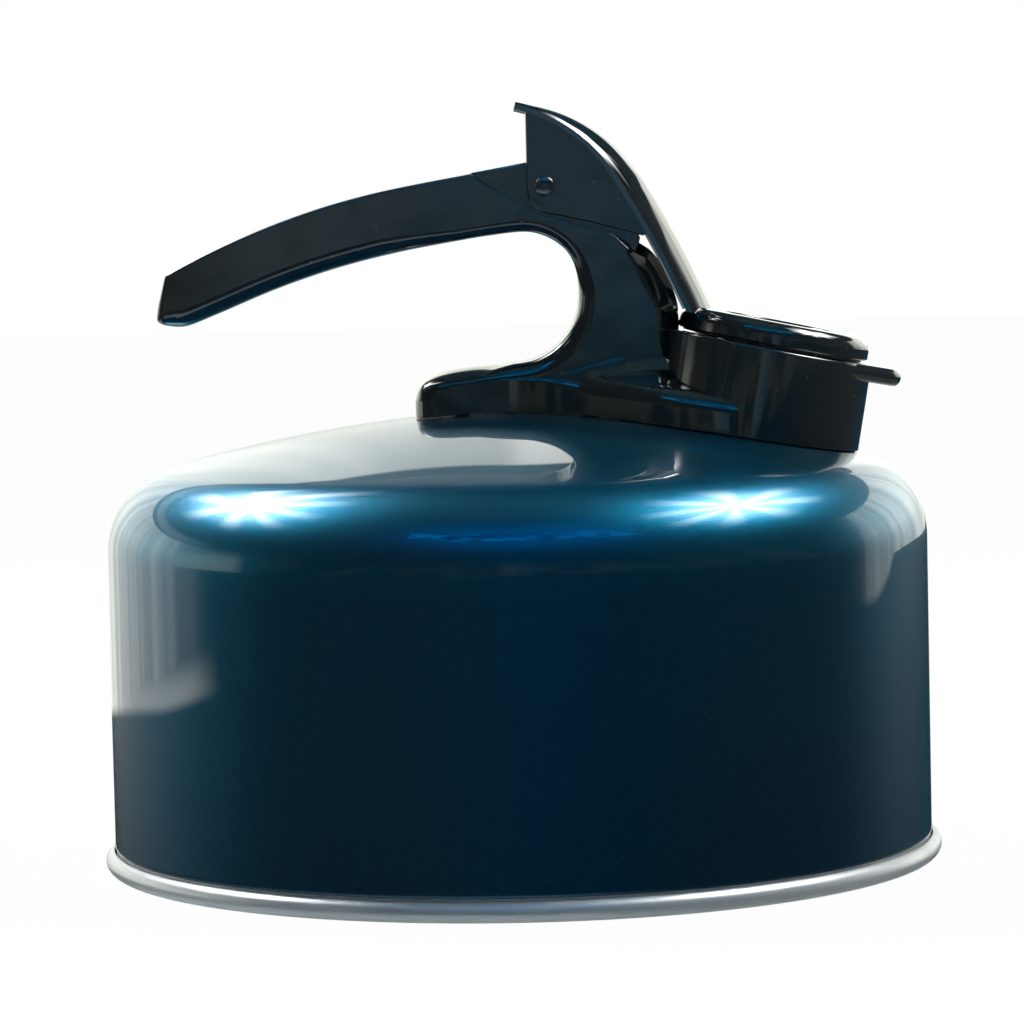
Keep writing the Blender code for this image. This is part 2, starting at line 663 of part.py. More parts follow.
def make_spout_gasket(material):
    """Silicone ring in the tub's groove, shaped to the dome below it."""
    inner = SPIGOT_RADIUS + GAP
    top = -SPOUT_DEPTH + GASKET_DEPTH - GAP
    gasket = ring("spout_gasket", inner, inner + GASKET_WIDTH, top - GASKET_RAW_HEIGHT, top, SPOUT, TUB_SEGMENTS, material)
    cut(gasket, body_under("gasket_cutter", GAP))
    return gasket


def make_lock_ring(material):
    """Ring nut on the spigot, clamping the dome from inside."""
    inner = SPIGOT_RADIUS + GAP
    top = -SPOUT_DEPTH - BODY_WALL - GAP
    low = top - LOCK_RING_HEIGHT
    nut = ring("spout_lock_ring", inner, inner + LOCK_RING_WIDTH, low, top + LOCK_RING_RAW_RISE, SPOUT, TUB_SEGMENTS, material)
    keep(nut, body_under("nut_limit", -BODY_WALL - GAP))
    return nut


def lever_path():
    """Side view of the lever's outer face along its two edges, from the thumb end to the lid."""
    return bend_path(above_apex(*LEVER_START), LEVER_HEADING, LEVER_BENDS)


def make_lever_strip():
    """The lever's crowned outer wall, as rings of an outer and an inner arc."""
    path = lever_path()
    inner_side = offset_line(path, 1.0)
    rings = []
    travelled = 0.0
    steps = 8
    for i, point in enumerate(path):
        if i:
            travelled += math.dist(point, path[i - 1])
        share = min(travelled / LEVER_CROWN_RUN, 1.0)
        crown = LEVER_CROWN_TOP + (LEVER_CROWN - LEVER_CROWN_TOP) * share
        inward = Vector((inner_side[i][0] - point[0], inner_side[i][1] - point[1]))
        ring_points = []
        for side, depth in ((1, 0.0), (-1, LEVER_WALL)):
            for k in range(steps + 1):
                across = side * (2 * k / steps - 1)
                away = depth - crown * (1 - across * across)
                x, z = point[0] + inward[0] * away, point[1] + inward[1] * away
                ring_points.append((x, across * HALF_WIDTH, z))
        rings.append(ring_points)
    return rings


def cheek_outline():
    """Side view of a cheek: a plate under the strip that reaches down round the pin."""
    under_strip = offset_line(lever_path(), CHEEK_TOP_INSET)
    wanted = [point for point in under_strip if point[1] > APEX + CHEEK_FOOT[-1][1] and point[0] > CHEEK_BACK_X]
    corner = (CHEEK_BACK_X + CHEEK_CORNER_RADIUS, APEX + PIN_HEIGHT - 0.0006)
    back = [(CHEEK_BACK_X, wanted[0][1])]
    return back + wanted + [above_apex(*point) for point in CHEEK_FOOT[::-1]] + arc(corner, CHEEK_CORNER_RADIUS, 265, 180, 5)


def rib_outline():
    """The rib under the strip that the spring's leg bears on."""
    lean = math.radians(SPRING_LEG_ANGLE + 90)
    away = SPRING_COIL_RADIUS + SPRING_WIRE_RADIUS + RIB_ROOM
    foot = Vector((PIN_X, APEX + PIN_HEIGHT)) + Vector((math.sin(lean), -math.cos(lean))) * away
    along = Vector((math.cos(lean), math.sin(lean)))
    across = Vector((math.sin(lean), -math.cos(lean))) * RIB_WALL
    near, far = foot + along * (SPRING_LEG - RIB_DROP), foot + along * (SPRING_LEG + 0.0022)
    return [tuple(near), tuple(far), tuple(far + across), tuple(near + across)]


def lid_profile():
    """Section of the lid: rim, whistle recess and the boss round the whistle."""
    hole = WHISTLE_RADIUS + GAP
    floor = LID_HEIGHT - LID_RECESS_DEPTH
    groove_inner = SEAL_INNER_RADIUS - GAP
    groove_outer = SEAL_INNER_RADIUS + SEAL_WIDTH + GAP
    ceiling = LID_HEIGHT - LID_WALL - 0.0002
    rim_inner = LID_RADIUS - LID_RIM_WIDTH
    boss = hole + LID_WALL
    profile = [(hole, floor), (LID_RECESS_RADIUS, floor), (LID_RECESS_RADIUS, LID_HEIGHT)]
    profile += arc((LID_RADIUS - LID_EDGE_ROUND, LID_HEIGHT - LID_EDGE_ROUND), LID_EDGE_ROUND, 90, 0, 4)
    profile += [(LID_RADIUS, 0), (groove_outer, 0), (groove_outer, SEAL_DEPTH), (groove_inner, SEAL_DEPTH)]
    profile += [(groove_inner, 0), (rim_inner, 0), (rim_inner, floor - LID_WALL), (boss, floor - LID_WALL)]
    return profile + [(boss, 0.0), (hole, 0.0)]


def make_lever(material):
    """Lever and lid in one moulding: crowned strip, two cheeks on the pin, and the lid."""
    lever = turned("lid_lever", lid_profile(), LID, TUB_SEGMENTS, material, closed=True)
    strip = lofted("strip_guide", make_lever_strip())
    recess = cylinder("strip_trim", LID_RECESS_RADIUS, -0.004, LID_HEIGHT + 0.02, LID, TUB_SEGMENTS)
    cut(strip, recess)
    under = block("strip_floor", (-0.05, -0.05, -0.05), (0.05, 0.05, LID_HEIGHT - LID_WALL * 0.9), LID)
    cut(strip, under)
    for side, low, high in (("near", -CHEEK_OUTER, -CHEEK_INNER), ("far", CHEEK_INNER, CHEEK_OUTER)):
        join(strip, extruded(f"cheek_{side}", cheek_outline(), -high, -low))
    join(strip, extruded("rib_guide", rib_outline(), -RIB_HALF_WIDTH, RIB_HALF_WIDTH))
    pin_axis = PIN @ Matrix.Rotation(math.pi / 2, 4, "X")
    cut(strip, cylinder("cheek_hole", PIN_RADIUS + GAP, -0.02, 0.02, pin_axis, 16))
    join(lever, strip)
    return lever


def make_lid_seal(material):
    """Silicone ring in the lid's groove, just clear of the rim of the mouth."""
    inner, outer = SEAL_INNER_RADIUS, SEAL_INNER_RADIUS + SEAL_WIDTH
    return ring("lid_seal", inner, outer, GAP - LID_LIFT, SEAL_DEPTH - GAP, LID, TUB_SEGMENTS, material)


def make_whistle(steel):
    """Cup and cap with a hole each, and the clip that holds the cup in the lid."""
    floor = LID_HEIGHT - LID_RECESS_DEPTH
    hole = WHISTLE_HOLE_RADIUS
    cap_low = floor + GAP
    cap_radius = LID_RECESS_RADIUS - GAP
    ring("whistle_cap", hole, cap_radius, cap_low, cap_low + WHISTLE_CAP_WALL, LID, 32, steel)
    top = floor
    low = top - WHISTLE_DEPTH
    radius, inner = WHISTLE_RADIUS, WHISTLE_RADIUS - WHISTLE_WALL
    profile = [(inner, top), (radius, top), (radius, low), (hole, low), (hole, low + WHISTLE_WALL)]
    turned("whistle_cup", profile + [(inner, low + WHISTLE_WALL)], LID, 32, steel, closed=True)
    clip_top = -GAP
    clip_inner = WHISTLE_RADIUS + GAP
    clip_low = clip_top - WHISTLE_CLIP_WALL
    ring("whistle_clip", clip_inner, clip_inner + WHISTLE_CLIP_WIDTH, clip_low, clip_top, LID, 32, steel)


def make_pin(steel):
    """Rivet pin with a domed head on the near side and a push-on retainer on the far side."""
    axis = PIN @ Matrix.Rotation(math.pi / 2, 4, "X")
    head = CHEEK_OUTER + GAP
    end = CHEEK_OUTER + GAP + RETAINER_WALL + PIN_TAIL
    dome = arc((0, head), PIN_HEAD_RADIUS, 90, 0, 4)
    profile = [(r, head + (z - head) * PIN_HEAD_HEIGHT / PIN_HEAD_RADIUS) for r, z in dome]
    profile[0] = (0, profile[0][1])
    profile += [(PIN_RADIUS, head), (PIN_RADIUS, -end), (0, -end)]
    turned("hinge_pin", profile, axis, 16, steel)
    inner = PIN_RADIUS + GAP
    ring("pin_retainer", inner, RETAINER_RADIUS, -head - RETAINER_WALL, -head, axis, 16, steel)


def spring_points():
    """Foot, coil and leg of the torsion spring in the pin's frame."""
    coil = []
    turn = 360 * SPRING_TURNS + SPRING_LEG_ANGLE - SPRING_FOOT_ANGLE
    count = round(turn * SPRING_POINTS_PER_TURN / 360)
    for i in range(count + 1):
        angle = math.radians(SPRING_FOOT_ANGLE + turn * i / count)
        y = SPRING_PITCH * SPRING_TURNS * (i / count - 0.5)
        coil.append(Vector((SPRING_COIL_RADIUS * math.cos(angle), y, SPRING_COIL_RADIUS * math.sin(angle))))
    foot = math.radians(SPRING_FOOT_ANGLE - 90)
    leg = math.radians(SPRING_LEG_ANGLE + 90)
    start = coil[0] + Vector((math.cos(foot), 0, math.sin(foot))) * SPRING_FOOT
    end = coil[-1] + Vector((math.cos(leg), 0, math.sin(leg))) * SPRING_LEG
    return coil, start, end


def make_spring(material):
    coil, start, end = spring_points()
    points = [start] + coil + [end]
    curve = bpy.data.curves.new("lever_spring", "CURVE")
    curve.dimensions = "3D"
    curve.bevel_depth = SPRING_WIRE_RADIUS
    curve.bevel_resolution = 1
    curve.use_fill_caps = True
    spline = curve.splines.new("POLY")
    spline.points.add(len(points) - 1)
    for target, point in zip(spline.points, points):
        target.co = (*point, 1)
    spring = bpy.data.objects.new("lever_spring", curve)
    PARTS.objects.link(spring)
    curve.materials.append(material)
    spring.matrix_world = PIN
    nearest = min((a - b).length for i, a in enumerate(coil) for b in coil[i + SPRING_POINTS_PER_TURN - 1:])
    print(f"least gap of lever_spring to itself: {(nearest - 2 * SPRING_WIRE_RADIUS) * 1000:.2f} mm")
    return spring


def build():
    lacquer = new_material("blue_lacquer", (0.010, 0.075, 0.130), 0.12, 0.55)
    aluminium = new_material("aluminium", (0.72, 0.73, 0.72), 0.30, 1.0)
    plastic = new_material("black_plastic", (0.020, 0.022, 0.021), 0.12, 0.0)
    steel = new_material("steel", (0.60, 0.60, 0.58), 0.25, 1.0)
    silicone = new_material("silicone", (0.10, 0.10, 0.10), 0.60, 0.0)
    brass = new_material("brass", (0.75, 0.55, 0.22), 0.30, 1.0)
    make_body(lacquer)
    make_base(aluminium)
    make_seam_seal(silicone)
    make_handle(plastic)
    make_screws(steel, silicone, brass)
    make_spout_gasket(silicone)
    make_lock_ring(aluminium)
    make_lever(plastic)
    make_lid_seal(silicone)
    make_whistle(steel)
    make_pin(steel)
    make_spring(steel)


build()
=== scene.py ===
"""Camping kettle in its studio: lacquered body, rolled rim, glossy handle, spout and whistle lid."""

import math

import bmesh
import bpy
from mathutils import Matrix, Vector


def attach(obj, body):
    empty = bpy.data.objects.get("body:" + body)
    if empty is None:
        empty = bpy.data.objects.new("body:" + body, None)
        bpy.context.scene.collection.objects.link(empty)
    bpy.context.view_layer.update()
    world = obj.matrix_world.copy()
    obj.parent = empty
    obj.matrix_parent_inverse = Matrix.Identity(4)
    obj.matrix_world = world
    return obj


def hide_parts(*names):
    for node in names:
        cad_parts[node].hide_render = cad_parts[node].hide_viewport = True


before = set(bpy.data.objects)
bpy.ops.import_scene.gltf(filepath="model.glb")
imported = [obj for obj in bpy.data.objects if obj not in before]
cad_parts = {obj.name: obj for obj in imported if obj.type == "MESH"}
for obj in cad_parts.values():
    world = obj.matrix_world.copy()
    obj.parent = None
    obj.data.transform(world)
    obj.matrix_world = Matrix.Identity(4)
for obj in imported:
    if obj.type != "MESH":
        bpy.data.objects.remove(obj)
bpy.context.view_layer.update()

# Sizes of the part, in metres
BODY_RADIUS = 0.0977
BODY_WALL = 0.0010
SHOULDER_START = 0.0758
SHOULDER_RADIUS = 0.0200
DOME_CENTRE_SLOPE = 0.033
DOME_EDGE_SLOPE = 0.262
BEAD_RADIUS = 0.0024
BEAD_WALL = 0.0008
BEAD_INSET = 0.0001
BASE_WALL = 0.0012
BASE_RECESS_DEPTH = 0.0010
BASE_RECESS_RADIUS = 0.0600
BARE_BAND = 0.0004
BARE_STEP = 0.00025
FLAT_RUN = 0.0010
GAP = 0.0003
HANDLE_WIDTH = 0.0220
HUB_WIDTH = 0.0174
GRIP_END = (-0.0816, 0.0340)
GRIP_TOP_BENDS = ((0.0580, 10.5, 28), (0.0185, 8.5, 8))
GRIP_TOP_HEADING = 28.5
GRIP_NOSE = (-0.0838, 0.0246)
GRIP_LOWEST = (-0.0797, 0.0216)
FINGER_HOLE_RADIUS = 0.0159
FINGER_HOLE_HEIGHT = 0.0270
FINGER_HOLE_TOP = ((0.0153, 0.0330), (0.0135, 0.0371), (0.0104, 0.0399), (0.0065, 0.0417), (0.0024, 0.0422))
GRIP_UNDER = ((-0.0048, 0.0415), (-0.0119, 0.0405), (-0.0261, 0.0381), (-0.0404, 0.0348), (-0.0547, 0.0303),
              (-0.0691, 0.0246), (-0.0763, 0.0219))
NECK_SHOULDER = ((0.0053, 0.0466), (0.0212, 0.0418), (0.0243, 0.0412))
NECK_FRONT = ((0.0284, 0.0406, 0.0028), (0.0337, 0.0367, 0.0054), (0.0368, 0.0316, 0.0058),
              (0.0395, 0.0243, 0.0051), (0.0398, 0.0160, 0.0049))
GRIP_CROWN = 0.0003
ROOT_DEPTH = 0.012
ROOT_FRONT_X = 0.040
EDGE_ROUND = 0.0040
HOLE_TOP_ROUND = 0.0026
HOLE_ROUND_START_X = -0.030
HOLE_ROUND_RUN = 0.018
EDGE_SOFT = 0.0006
TAIL_END_X = -0.0234
TAIL_CENTRE_HEIGHT = 0.0110
TAIL_EDGE_HEIGHT = 0.0084
TAIL_CORNER_RADIUS = 0.0050
TAIL_TOP = ((0.0006, 0.60, 0.2, 1.0), (0.0017, 0.77, 0.5, 0.9), (0.0042, 0.885, 0.8, 0.6),
            (0.0085, 0.955, 1, 0.2), (0.0150, 0.985, 1, 0))
SKIRT_START_X = -0.0030
SKIRT_END_X = 0.0520
SKIRT_EDGE_ROUND = 0.0034
SKIRT_FILLET = 0.0050
SKIRT_FILLET_RUN = 0.008
SKIRT_FILLET_END_X = 0.051
SKIRT_ROOT = 0.016
SKIRT_OVERLAP = 0.0006
MOUTH_X = 0.0602
MOUTH_HEIGHT = 0.01385
MOUTH_TILT = 12.0
TUB_TILT = 10.0
TUB_RADIUS = 0.02575
LID_OFFSET = 0.0016
BORE_RADIUS = 0.0185
TUB_ROOT = 0.009
MOUTH_ROUND = 0.0007
SPIGOT_WALL = 0.0021
SPIGOT_DROP = 0.0070
SPIGOT_RISE = 0.004
SPIGOT_ROUND = 0.0005
CUT_REACH = 0.02
SLOT_REACH = 0.015
LIP_REACH = 0.0333
LIP_TIP_RADIUS = 0.0090
LIP_THICKNESS = 0.0040
LIP_PROUD = 0.00015
LIP_EDGE_ROUND = 0.0016
LIP_ROOT = 0.0045
LIP_SCOOP_RADIUS = 0.0110
LIP_SCOOP_DEPTH = 0.0010
PIN_X = 0.0084
PIN_HEIGHT = 0.0528
PIN_RADIUS = 0.0015
PIN_HEAD_RADIUS = 0.0024
PIN_HEAD_HEIGHT = 0.0009
PIN_TAIL = 0.0012
RETAINER_WALL = 0.0006
HUB_RADIUS = 0.0064
HUB_EDGE_ROUND = 0.0004
HUB_FRONT = ((0.0165, 0.0475), (0.0200, 0.0450), (0.0299, 0.0419), (0.0307, 0.0402), (0.0298, 0.0370))
LEVER_START = (0.0019, 0.0726)
LEVER_HEADING = -14.0
LEVER_BENDS = ((0.0300, -58.0, 24), (0.0385, -67.0, 24))
LEVER_WALL = 0.0019
LEVER_CROWN_TOP = 0.0010
LEVER_CROWN = 0.0049
LEVER_CROWN_RUN = 0.0340
STRIP_EDGE_ROUND = 0.00035
CHEEK_WALL = 0.0017
CHEEK_TOP_INSET = 0.0001
CHEEK_BACK_X = 0.0042
CHEEK_CORNER_RADIUS = 0.0060
CHEEK_FOOT = ((0.0119, 0.0458), (0.0189, 0.0442), (0.0312, 0.0407))
LID_RADIUS = 0.0229
LID_HEIGHT = 0.0054
LID_EDGE_ROUND = 0.0032
LID_RECESS_ROUND = 0.0006
LID_LIFT = 0.0008
LID_RECESS_RADIUS = 0.01365
LID_RECESS_DEPTH = 0.0016
LID_WALL = 0.0018
LID_RIM_WIDTH = 0.0049
SEAL_INNER_RADIUS = 0.0192
SEAL_WIDTH = 0.0024
SEAL_DEPTH = 0.0013
WHISTLE_RADIUS = 0.0110
WHISTLE_HOLE_RADIUS = 0.0025
WHISTLE_CAP_WALL = 0.0006
SPRING_COIL_RADIUS = 0.0030
SPRING_WIRE_RADIUS = 0.0005
SPRING_TURNS = 5
SPRING_PITCH = 0.00150
SPRING_SLOT_BACK = 0.0062
SPRING_LEG_ANGLE = -18.0
SPRING_LEG = 0.0125
RIB_ROOM = 0.0004
RIB_WALL = 0.0020
RIB_HALF_WIDTH = 0.0060
RIB_DROP = 0.0050
RIB_RISE = 0.0022
PLATE_EDGE_ROUND = 0.0003

TURN_STEPS = 192
UMBRELLA_STRETCH = 1.7
AIM_HEIGHT = 0.08
HALF_WIDTH = HANDLE_WIDTH / 2
HUB_HALF = HUB_WIDTH / 2
CHEEK_INNER = HUB_HALF + GAP
CHEEK_OUTER = CHEEK_INNER + CHEEK_WALL

# Camera, from the outline of the body in the photograph
PHOTO_PIXELS = 1024
FOCAL_PIXELS = 4378.57
CAMERA_DISTANCE = 1.0440
CAMERA_HEIGHT = 0.1603
CAMERA_YAW = -0.0010
CAMERA_PITCH = -0.0742
CAMERA_ROLL = -0.0228


def place_camera():
    camera = bpy.data.cameras.new("camera")
    camera.sensor_width = 36.0
    camera.lens = FOCAL_PIXELS / PHOTO_PIXELS * camera.sensor_width
    camera.clip_end = 20.0
    obj = bpy.data.objects.new("camera", camera)
    bpy.context.scene.collection.objects.link(obj)
    level = math.cos(CAMERA_PITCH)
    forward = Vector((math.sin(CAMERA_YAW) * level, math.cos(CAMERA_YAW) * level, math.sin(CAMERA_PITCH)))
    right = Vector((math.cos(CAMERA_YAW), -math.sin(CAMERA_YAW), 0))
    up = right.cross(forward)
    rolled_right = right * math.cos(CAMERA_ROLL) + up * math.sin(CAMERA_ROLL)
    rolled_up = up * math.cos(CAMERA_ROLL) - right * math.sin(CAMERA_ROLL)
    turn = Matrix((rolled_right, rolled_up, -forward)).transposed().to_4x4()
    obj.matrix_world = Matrix.Translation((0, -CAMERA_DISTANCE, CAMERA_HEIGHT)) @ turn
    bpy.context.scene.camera = obj


def shoulder_edge():
    lean = math.atan(DOME_EDGE_SLOPE)
    radius = BODY_RADIUS - SHOULDER_RADIUS + SHOULDER_RADIUS * math.sin(lean)
    return radius, SHOULDER_START + SHOULDER_RADIUS * math.cos(lean)


EDGE_RADIUS, EDGE_HEIGHT = shoulder_edge()
APEX = EDGE_HEIGHT + EDGE_RADIUS * (DOME_CENTRE_SLOPE + DOME_EDGE_SLOPE) / 2


def dome_slope(radius):
    return DOME_CENTRE_SLOPE + (DOME_EDGE_SLOPE - DOME_CENTRE_SLOPE) * radius / EDGE_RADIUS


def dome_height(radius):
    """Height of the body's outer surface at a radius, on the dome or the shoulder."""
    if radius <= EDGE_RADIUS:
        return APEX - radius * (DOME_CENTRE_SLOPE + dome_slope(radius)) / 2
    across = (radius - (BODY_RADIUS - SHOULDER_RADIUS)) / SHOULDER_RADIUS
    return SHOULDER_START + SHOULDER_RADIUS * math.sqrt(max(0.0, 1.0 - across * across))


def above_apex(x, height):
    return x, APEX + height


def arc(centre, radius, start, end, steps):
    """Points on an arc, with angles in degrees counted from +X towards +Z."""
    angles = [math.radians(start + (end - start) * i / steps) for i in range(steps + 1)]
    return [(centre[0] + radius * math.cos(a), centre[1] + radius * math.sin(a)) for a in angles]


def bend_path(start, heading, bends):
    """Points along runs of (length, heading at the end, steps), turning evenly in each run."""
    points = [start]
    for length, end_heading, steps in bends:
        for i in range(steps):
            angle = math.radians(heading + (end_heading - heading) * (i + 0.5) / steps)
            x, z = points[-1]
            points.append((x + length / steps * math.cos(angle), z + length / steps * math.sin(angle)))
        heading = end_heading
    return points


def on_curve(a, b, c, d, t):
    """A value at share t of the way from b to c, on a curve that comes from a and goes on to d."""
    square = 2 * a - 5 * b + 4 * c - d
    cube = 3 * b - a - 3 * c + d
    return 0.5 * (2 * b + (c - a) * t + square * t * t + cube * t ** 3)


def smooth_run(points, steps):
    """A curve through every point, with a number of steps between each two."""
    curve = []
    for i in range(len(points) - 1):
        four = points[max(i - 1, 0)], points[i], points[i + 1], points[min(i + 2, len(points) - 1)]
        for k in range(steps):
            curve.append(tuple(on_curve(*values, k / steps) for values in zip(*four)))
    return curve + [points[-1]]


def outward_normals(outline):
    """Unit normals of a closed outline that runs clockwise in side view."""
    normals = []
    for i, _ in enumerate(outline):
        before, after = outline[i - 1], outline[(i + 1) % len(outline)]
        along = Vector((after[0] - before[0], after[1] - before[1])).normalized()
        normals.append((-along[1], along[0]))
    return normals


def offset_line(points, distance):
    """An open line moved by a distance to the right of its run."""
    moved = []
    for i, point in enumerate(points):
        before, after = points[max(i - 1, 0)], points[min(i + 1, len(points) - 1)]
        along = Vector((after[0] - before[0], after[1] - before[1])).normalized()
        moved.append((point[0] + along[1] * distance, point[1] - along[0] * distance))
    return moved


def tilted_frame(x, z, tilt):
    """A frame at (x, 0, z) whose Z leans towards +X by a tilt in degrees."""
    return Matrix.Translation((x, 0, z)) @ Matrix.Rotation(math.radians(tilt), 4, "Y")


MOUTH = tilted_frame(MOUTH_X, APEX + MOUTH_HEIGHT, MOUTH_TILT)
MOUTH_MIDDLE = MOUTH @ Vector((LID_OFFSET, 0, 0))
TUB = tilted_frame(MOUTH_X, APEX + MOUTH_HEIGHT, TUB_TILT)
SPOUT = tilted_frame(MOUTH_MIDDLE.x, MOUTH_MIDDLE.z, TUB_TILT)
LID = MOUTH @ Matrix.Translation((LID_OFFSET, 0, LID_LIFT))
PIN = tilted_frame(PIN_X, APEX + PIN_HEIGHT, 0)
PIN_AXIS = PIN @ Matrix.Rotation(math.pi / 2, 4, "X")
UPRIGHT = Matrix.Identity(4)


def spout_crossing():
    """Distance down the spout's axis from the mouth to the dome's outer surface."""
    axis = SPOUT.to_3x3() @ Vector((0, 0, -1))
    low, high = 0.0, 0.06
    for _ in range(40):
        middle = (low + high) / 2
        point = SPOUT.translation + axis * middle
        low, high = (middle, high) if point.z > dome_height(math.hypot(point.x, point.y)) else (low, middle)
    return low


SPOUT_DEPTH = spout_crossing()


def raw_object(name, bm, frame_matrix=UPRIGHT):
    """A mesh object at the origin, with its place in its mesh."""
    bm.transform(frame_matrix)
    bmesh.ops.recalc_face_normals(bm, faces=bm.faces)
    mesh = bpy.data.meshes.new(name)
    bm.to_mesh(mesh)
    bm.free()
    obj = bpy.data.objects.new(name, mesh)
    bpy.context.scene.collection.objects.link(obj)
    return obj


def finish_piece(obj, material, body, nodes, sharp=32):
    """Shades a piece, gives it its material, hangs it under its body and hides the parts it stands for."""
    obj.data.shade_smooth()
    obj.data.set_sharp_from_angle(angle=math.radians(sharp))
    crease_flat_sides(obj.data)
    obj.data.materials.clear()
    obj.data.materials.append(material)
    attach(obj, body)
    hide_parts(*nodes)
    return obj


def finish_handle(obj, plastic, sharp=32):
    return finish_piece(obj, plastic, "kettle", ["handle_and_spout"], sharp)


def finish_lever(obj, plastic, sharp=32):
    return finish_piece(obj, plastic, "lever", ["lid_lever"], sharp)


def crease_flat_sides(mesh):
    """Keeps the flat near and far faces of a moulding from shading into their rounded edges."""
    bm = bmesh.new()
    bm.from_mesh(mesh)
    for face in bm.faces:
        face.smooth = abs(face.normal.y) < 0.9999
    for edge in bm.edges:
        if sum(abs(face.normal.y) > 0.9999 for face in edge.link_faces) == 1:
            edge.smooth = False
    bm.to_mesh(mesh)
    bm.free()


def bake(obj):
    """Turns an object's modifiers into its mesh."""
    bpy.context.view_layer.update()
    mesh = bpy.data.meshes.new_from_object(obj.evaluated_get(bpy.context.evaluated_depsgraph_get()))
    obj.modifiers.clear()
    obj.data = mesh
    return obj


def carve(obj, *tools, operation="DIFFERENCE"):
    """Cuts tools from an object, or joins them to it, and removes them."""
    for tool in tools:
        modifier = obj.modifiers.new("carve", "BOOLEAN")
        modifier.operation = operation
        modifier.object = tool
    bake(obj)
    for tool in tools:
        bpy.data.objects.remove(tool, do_unlink=True)
    return obj


def turned(name, profile, frame_matrix, steps=TURN_STEPS, closed=True):
    """A profile of (radius, height) points spun about the frame's Z."""
    bm = bmesh.new()
    verts = [bm.verts.new((radius, 0, height)) for radius, height in profile]
    edges = [bm.edges.new(pair) for pair in zip(verts, verts[1:])]
    if closed:
        edges.append(bm.edges.new((verts[-1], verts[0])))
    bmesh.ops.spin(bm, geom=verts + edges, cent=(0, 0, 0), axis=(0, 0, 1), angle=2 * math.pi, steps=steps,
                   use_merge=True)
    bmesh.ops.remove_doubles(bm, verts=bm.verts, dist=0.0000005)
    return raw_object(name, bm, frame_matrix)


def round_corners(profile, radius, corners, steps=3):
    """A profile with some of its corners, named by index, rounded."""
    rounded = []
    for i, point in enumerate(profile):
        if i not in corners:
            rounded.append(point)
            continue
        here = Vector(point)
        back = (Vector(profile[i - 1]) - here).normalized() * radius
        ahead = (Vector(profile[(i + 1) % len(profile)]) - here).normalized() * radius
        for k in range(steps + 1):
            t = k / steps
            rounded.append(tuple(here + back * (1 - t) ** 2 + ahead * t * t))
    return rounded


def cylinder(name, radius, low, high, frame_matrix, segments=96):
    bm = bmesh.new()
    bmesh.ops.create_cone(bm, cap_ends=True, segments=segments, radius1=radius, radius2=radius,
                          depth=high - low)
    bmesh.ops.translate(bm, vec=(0, 0, (low + high) / 2), verts=bm.verts)
    return raw_object(name, bm, frame_matrix)


def block(name, low, high, frame_matrix):
    bm = bmesh.new()
    bmesh.ops.create_cube(bm, size=1.0)
    bmesh.ops.scale(bm, vec=[high[i] - low[i] for i in range(3)], verts=bm.verts)
    bmesh.ops.translate(bm, vec=[(high[i] + low[i]) / 2 for i in range(3)], verts=bm.verts)
    return raw_object(name, bm, frame_matrix)


def lofted(name, rings):
    """A solid drawn out from a first ring through the others, with filled ends."""
    bm = bmesh.new()
    loop = [bm.verts.new(point) for point in rings[0]]
    edges = [bm.edges.new((a, b)) for a, b in zip(loop, loop[1:] + loop[:1])]
    bmesh.ops.triangle_fill(bm, use_beauty=True, edges=edges)
    for ring in rings[1:]:
        drawn = bmesh.ops.extrude_edge_only(bm, edges=edges)["geom"]
        fresh = {item for item in drawn if isinstance(item, bmesh.types.BMVert)}
        step = [next(e.other_vert(v) for e in v.link_edges if e.other_vert(v) in fresh) for v in loop]
        for vert, point in zip(step, ring):
            vert.co = point
        loop = step
        edges = [bm.edges.get((a, b)) for a, b in zip(loop, loop[1:] + loop[:1])]
    bmesh.ops.triangle_fill(bm, use_beauty=True, edges=edges)
    return raw_object(name, bm)


def plate(name, outline, low, high, edge):
    """A side-view outline given thickness from y = low to y = high, with its long edges rounded.

    Outline points closer together than the rounding are left out, because they would spoil it.
    """
    bm = bmesh.new()
    spaced = [point for i, point in enumerate(outline) if math.dist(point, outline[i - 1]) > edge * 1.5]
    loop = [bm.verts.new((x, low, z)) for x, z in spaced]
    edges = [bm.edges.new((a, b)) for a, b in zip(loop, loop[1:] + loop[:1])]
    face = bm.faces.new(loop)
    drawn = bmesh.ops.extrude_face_region(bm, geom=[face], use_keep_orig=True)["geom"]
    bmesh.ops.recalc_face_normals(bm, faces=bm.faces)
    far = [item for item in drawn if isinstance(item, bmesh.types.BMVert)]
    bmesh.ops.translate(bm, vec=(0, high - low, 0), verts=far)
    rims = edges + [item for item in drawn if isinstance(item, bmesh.types.BMEdge)]
    bmesh.ops.bevel(bm, geom=rims, offset=edge, segments=2, profile=0.5, affect="EDGES", material=-1)
    bmesh.ops.triangulate(bm, faces=[f for f in bm.faces if len(f.verts) > 4], ngon_method="EAR_CLIP")
    bmesh.ops.recalc_face_normals(bm, faces=bm.faces)
    return raw_object(name, bm)


def body_line(steps_dome, steps_shoulder):
    """The body's outer surface from the apex to the foot of the shoulder."""
    radii = [EDGE_RADIUS * i / steps_dome for i in range(steps_dome)]
    points = [(radius, dome_height(radius)) for radius in radii]
    lean = 90 - math.degrees(math.atan(DOME_EDGE_SLOPE))
    centre = (BODY_RADIUS - SHOULDER_RADIUS, SHOULDER_START)
    return points + arc(centre, SHOULDER_RADIUS, lean, 0, steps_shoulder)


def body_under(name, raise_by):
    """A turned solid that fills the body up to its outer surface raised by a distance."""
    line = offset_line(body_line(30, 16), -raise_by)
    line[0] = (0, line[0][1])
    floor = SHOULDER_START * 0.6
    return turned(name, line + [(line[-1][0], floor), (0, floor)], UPRIGHT, closed=False)


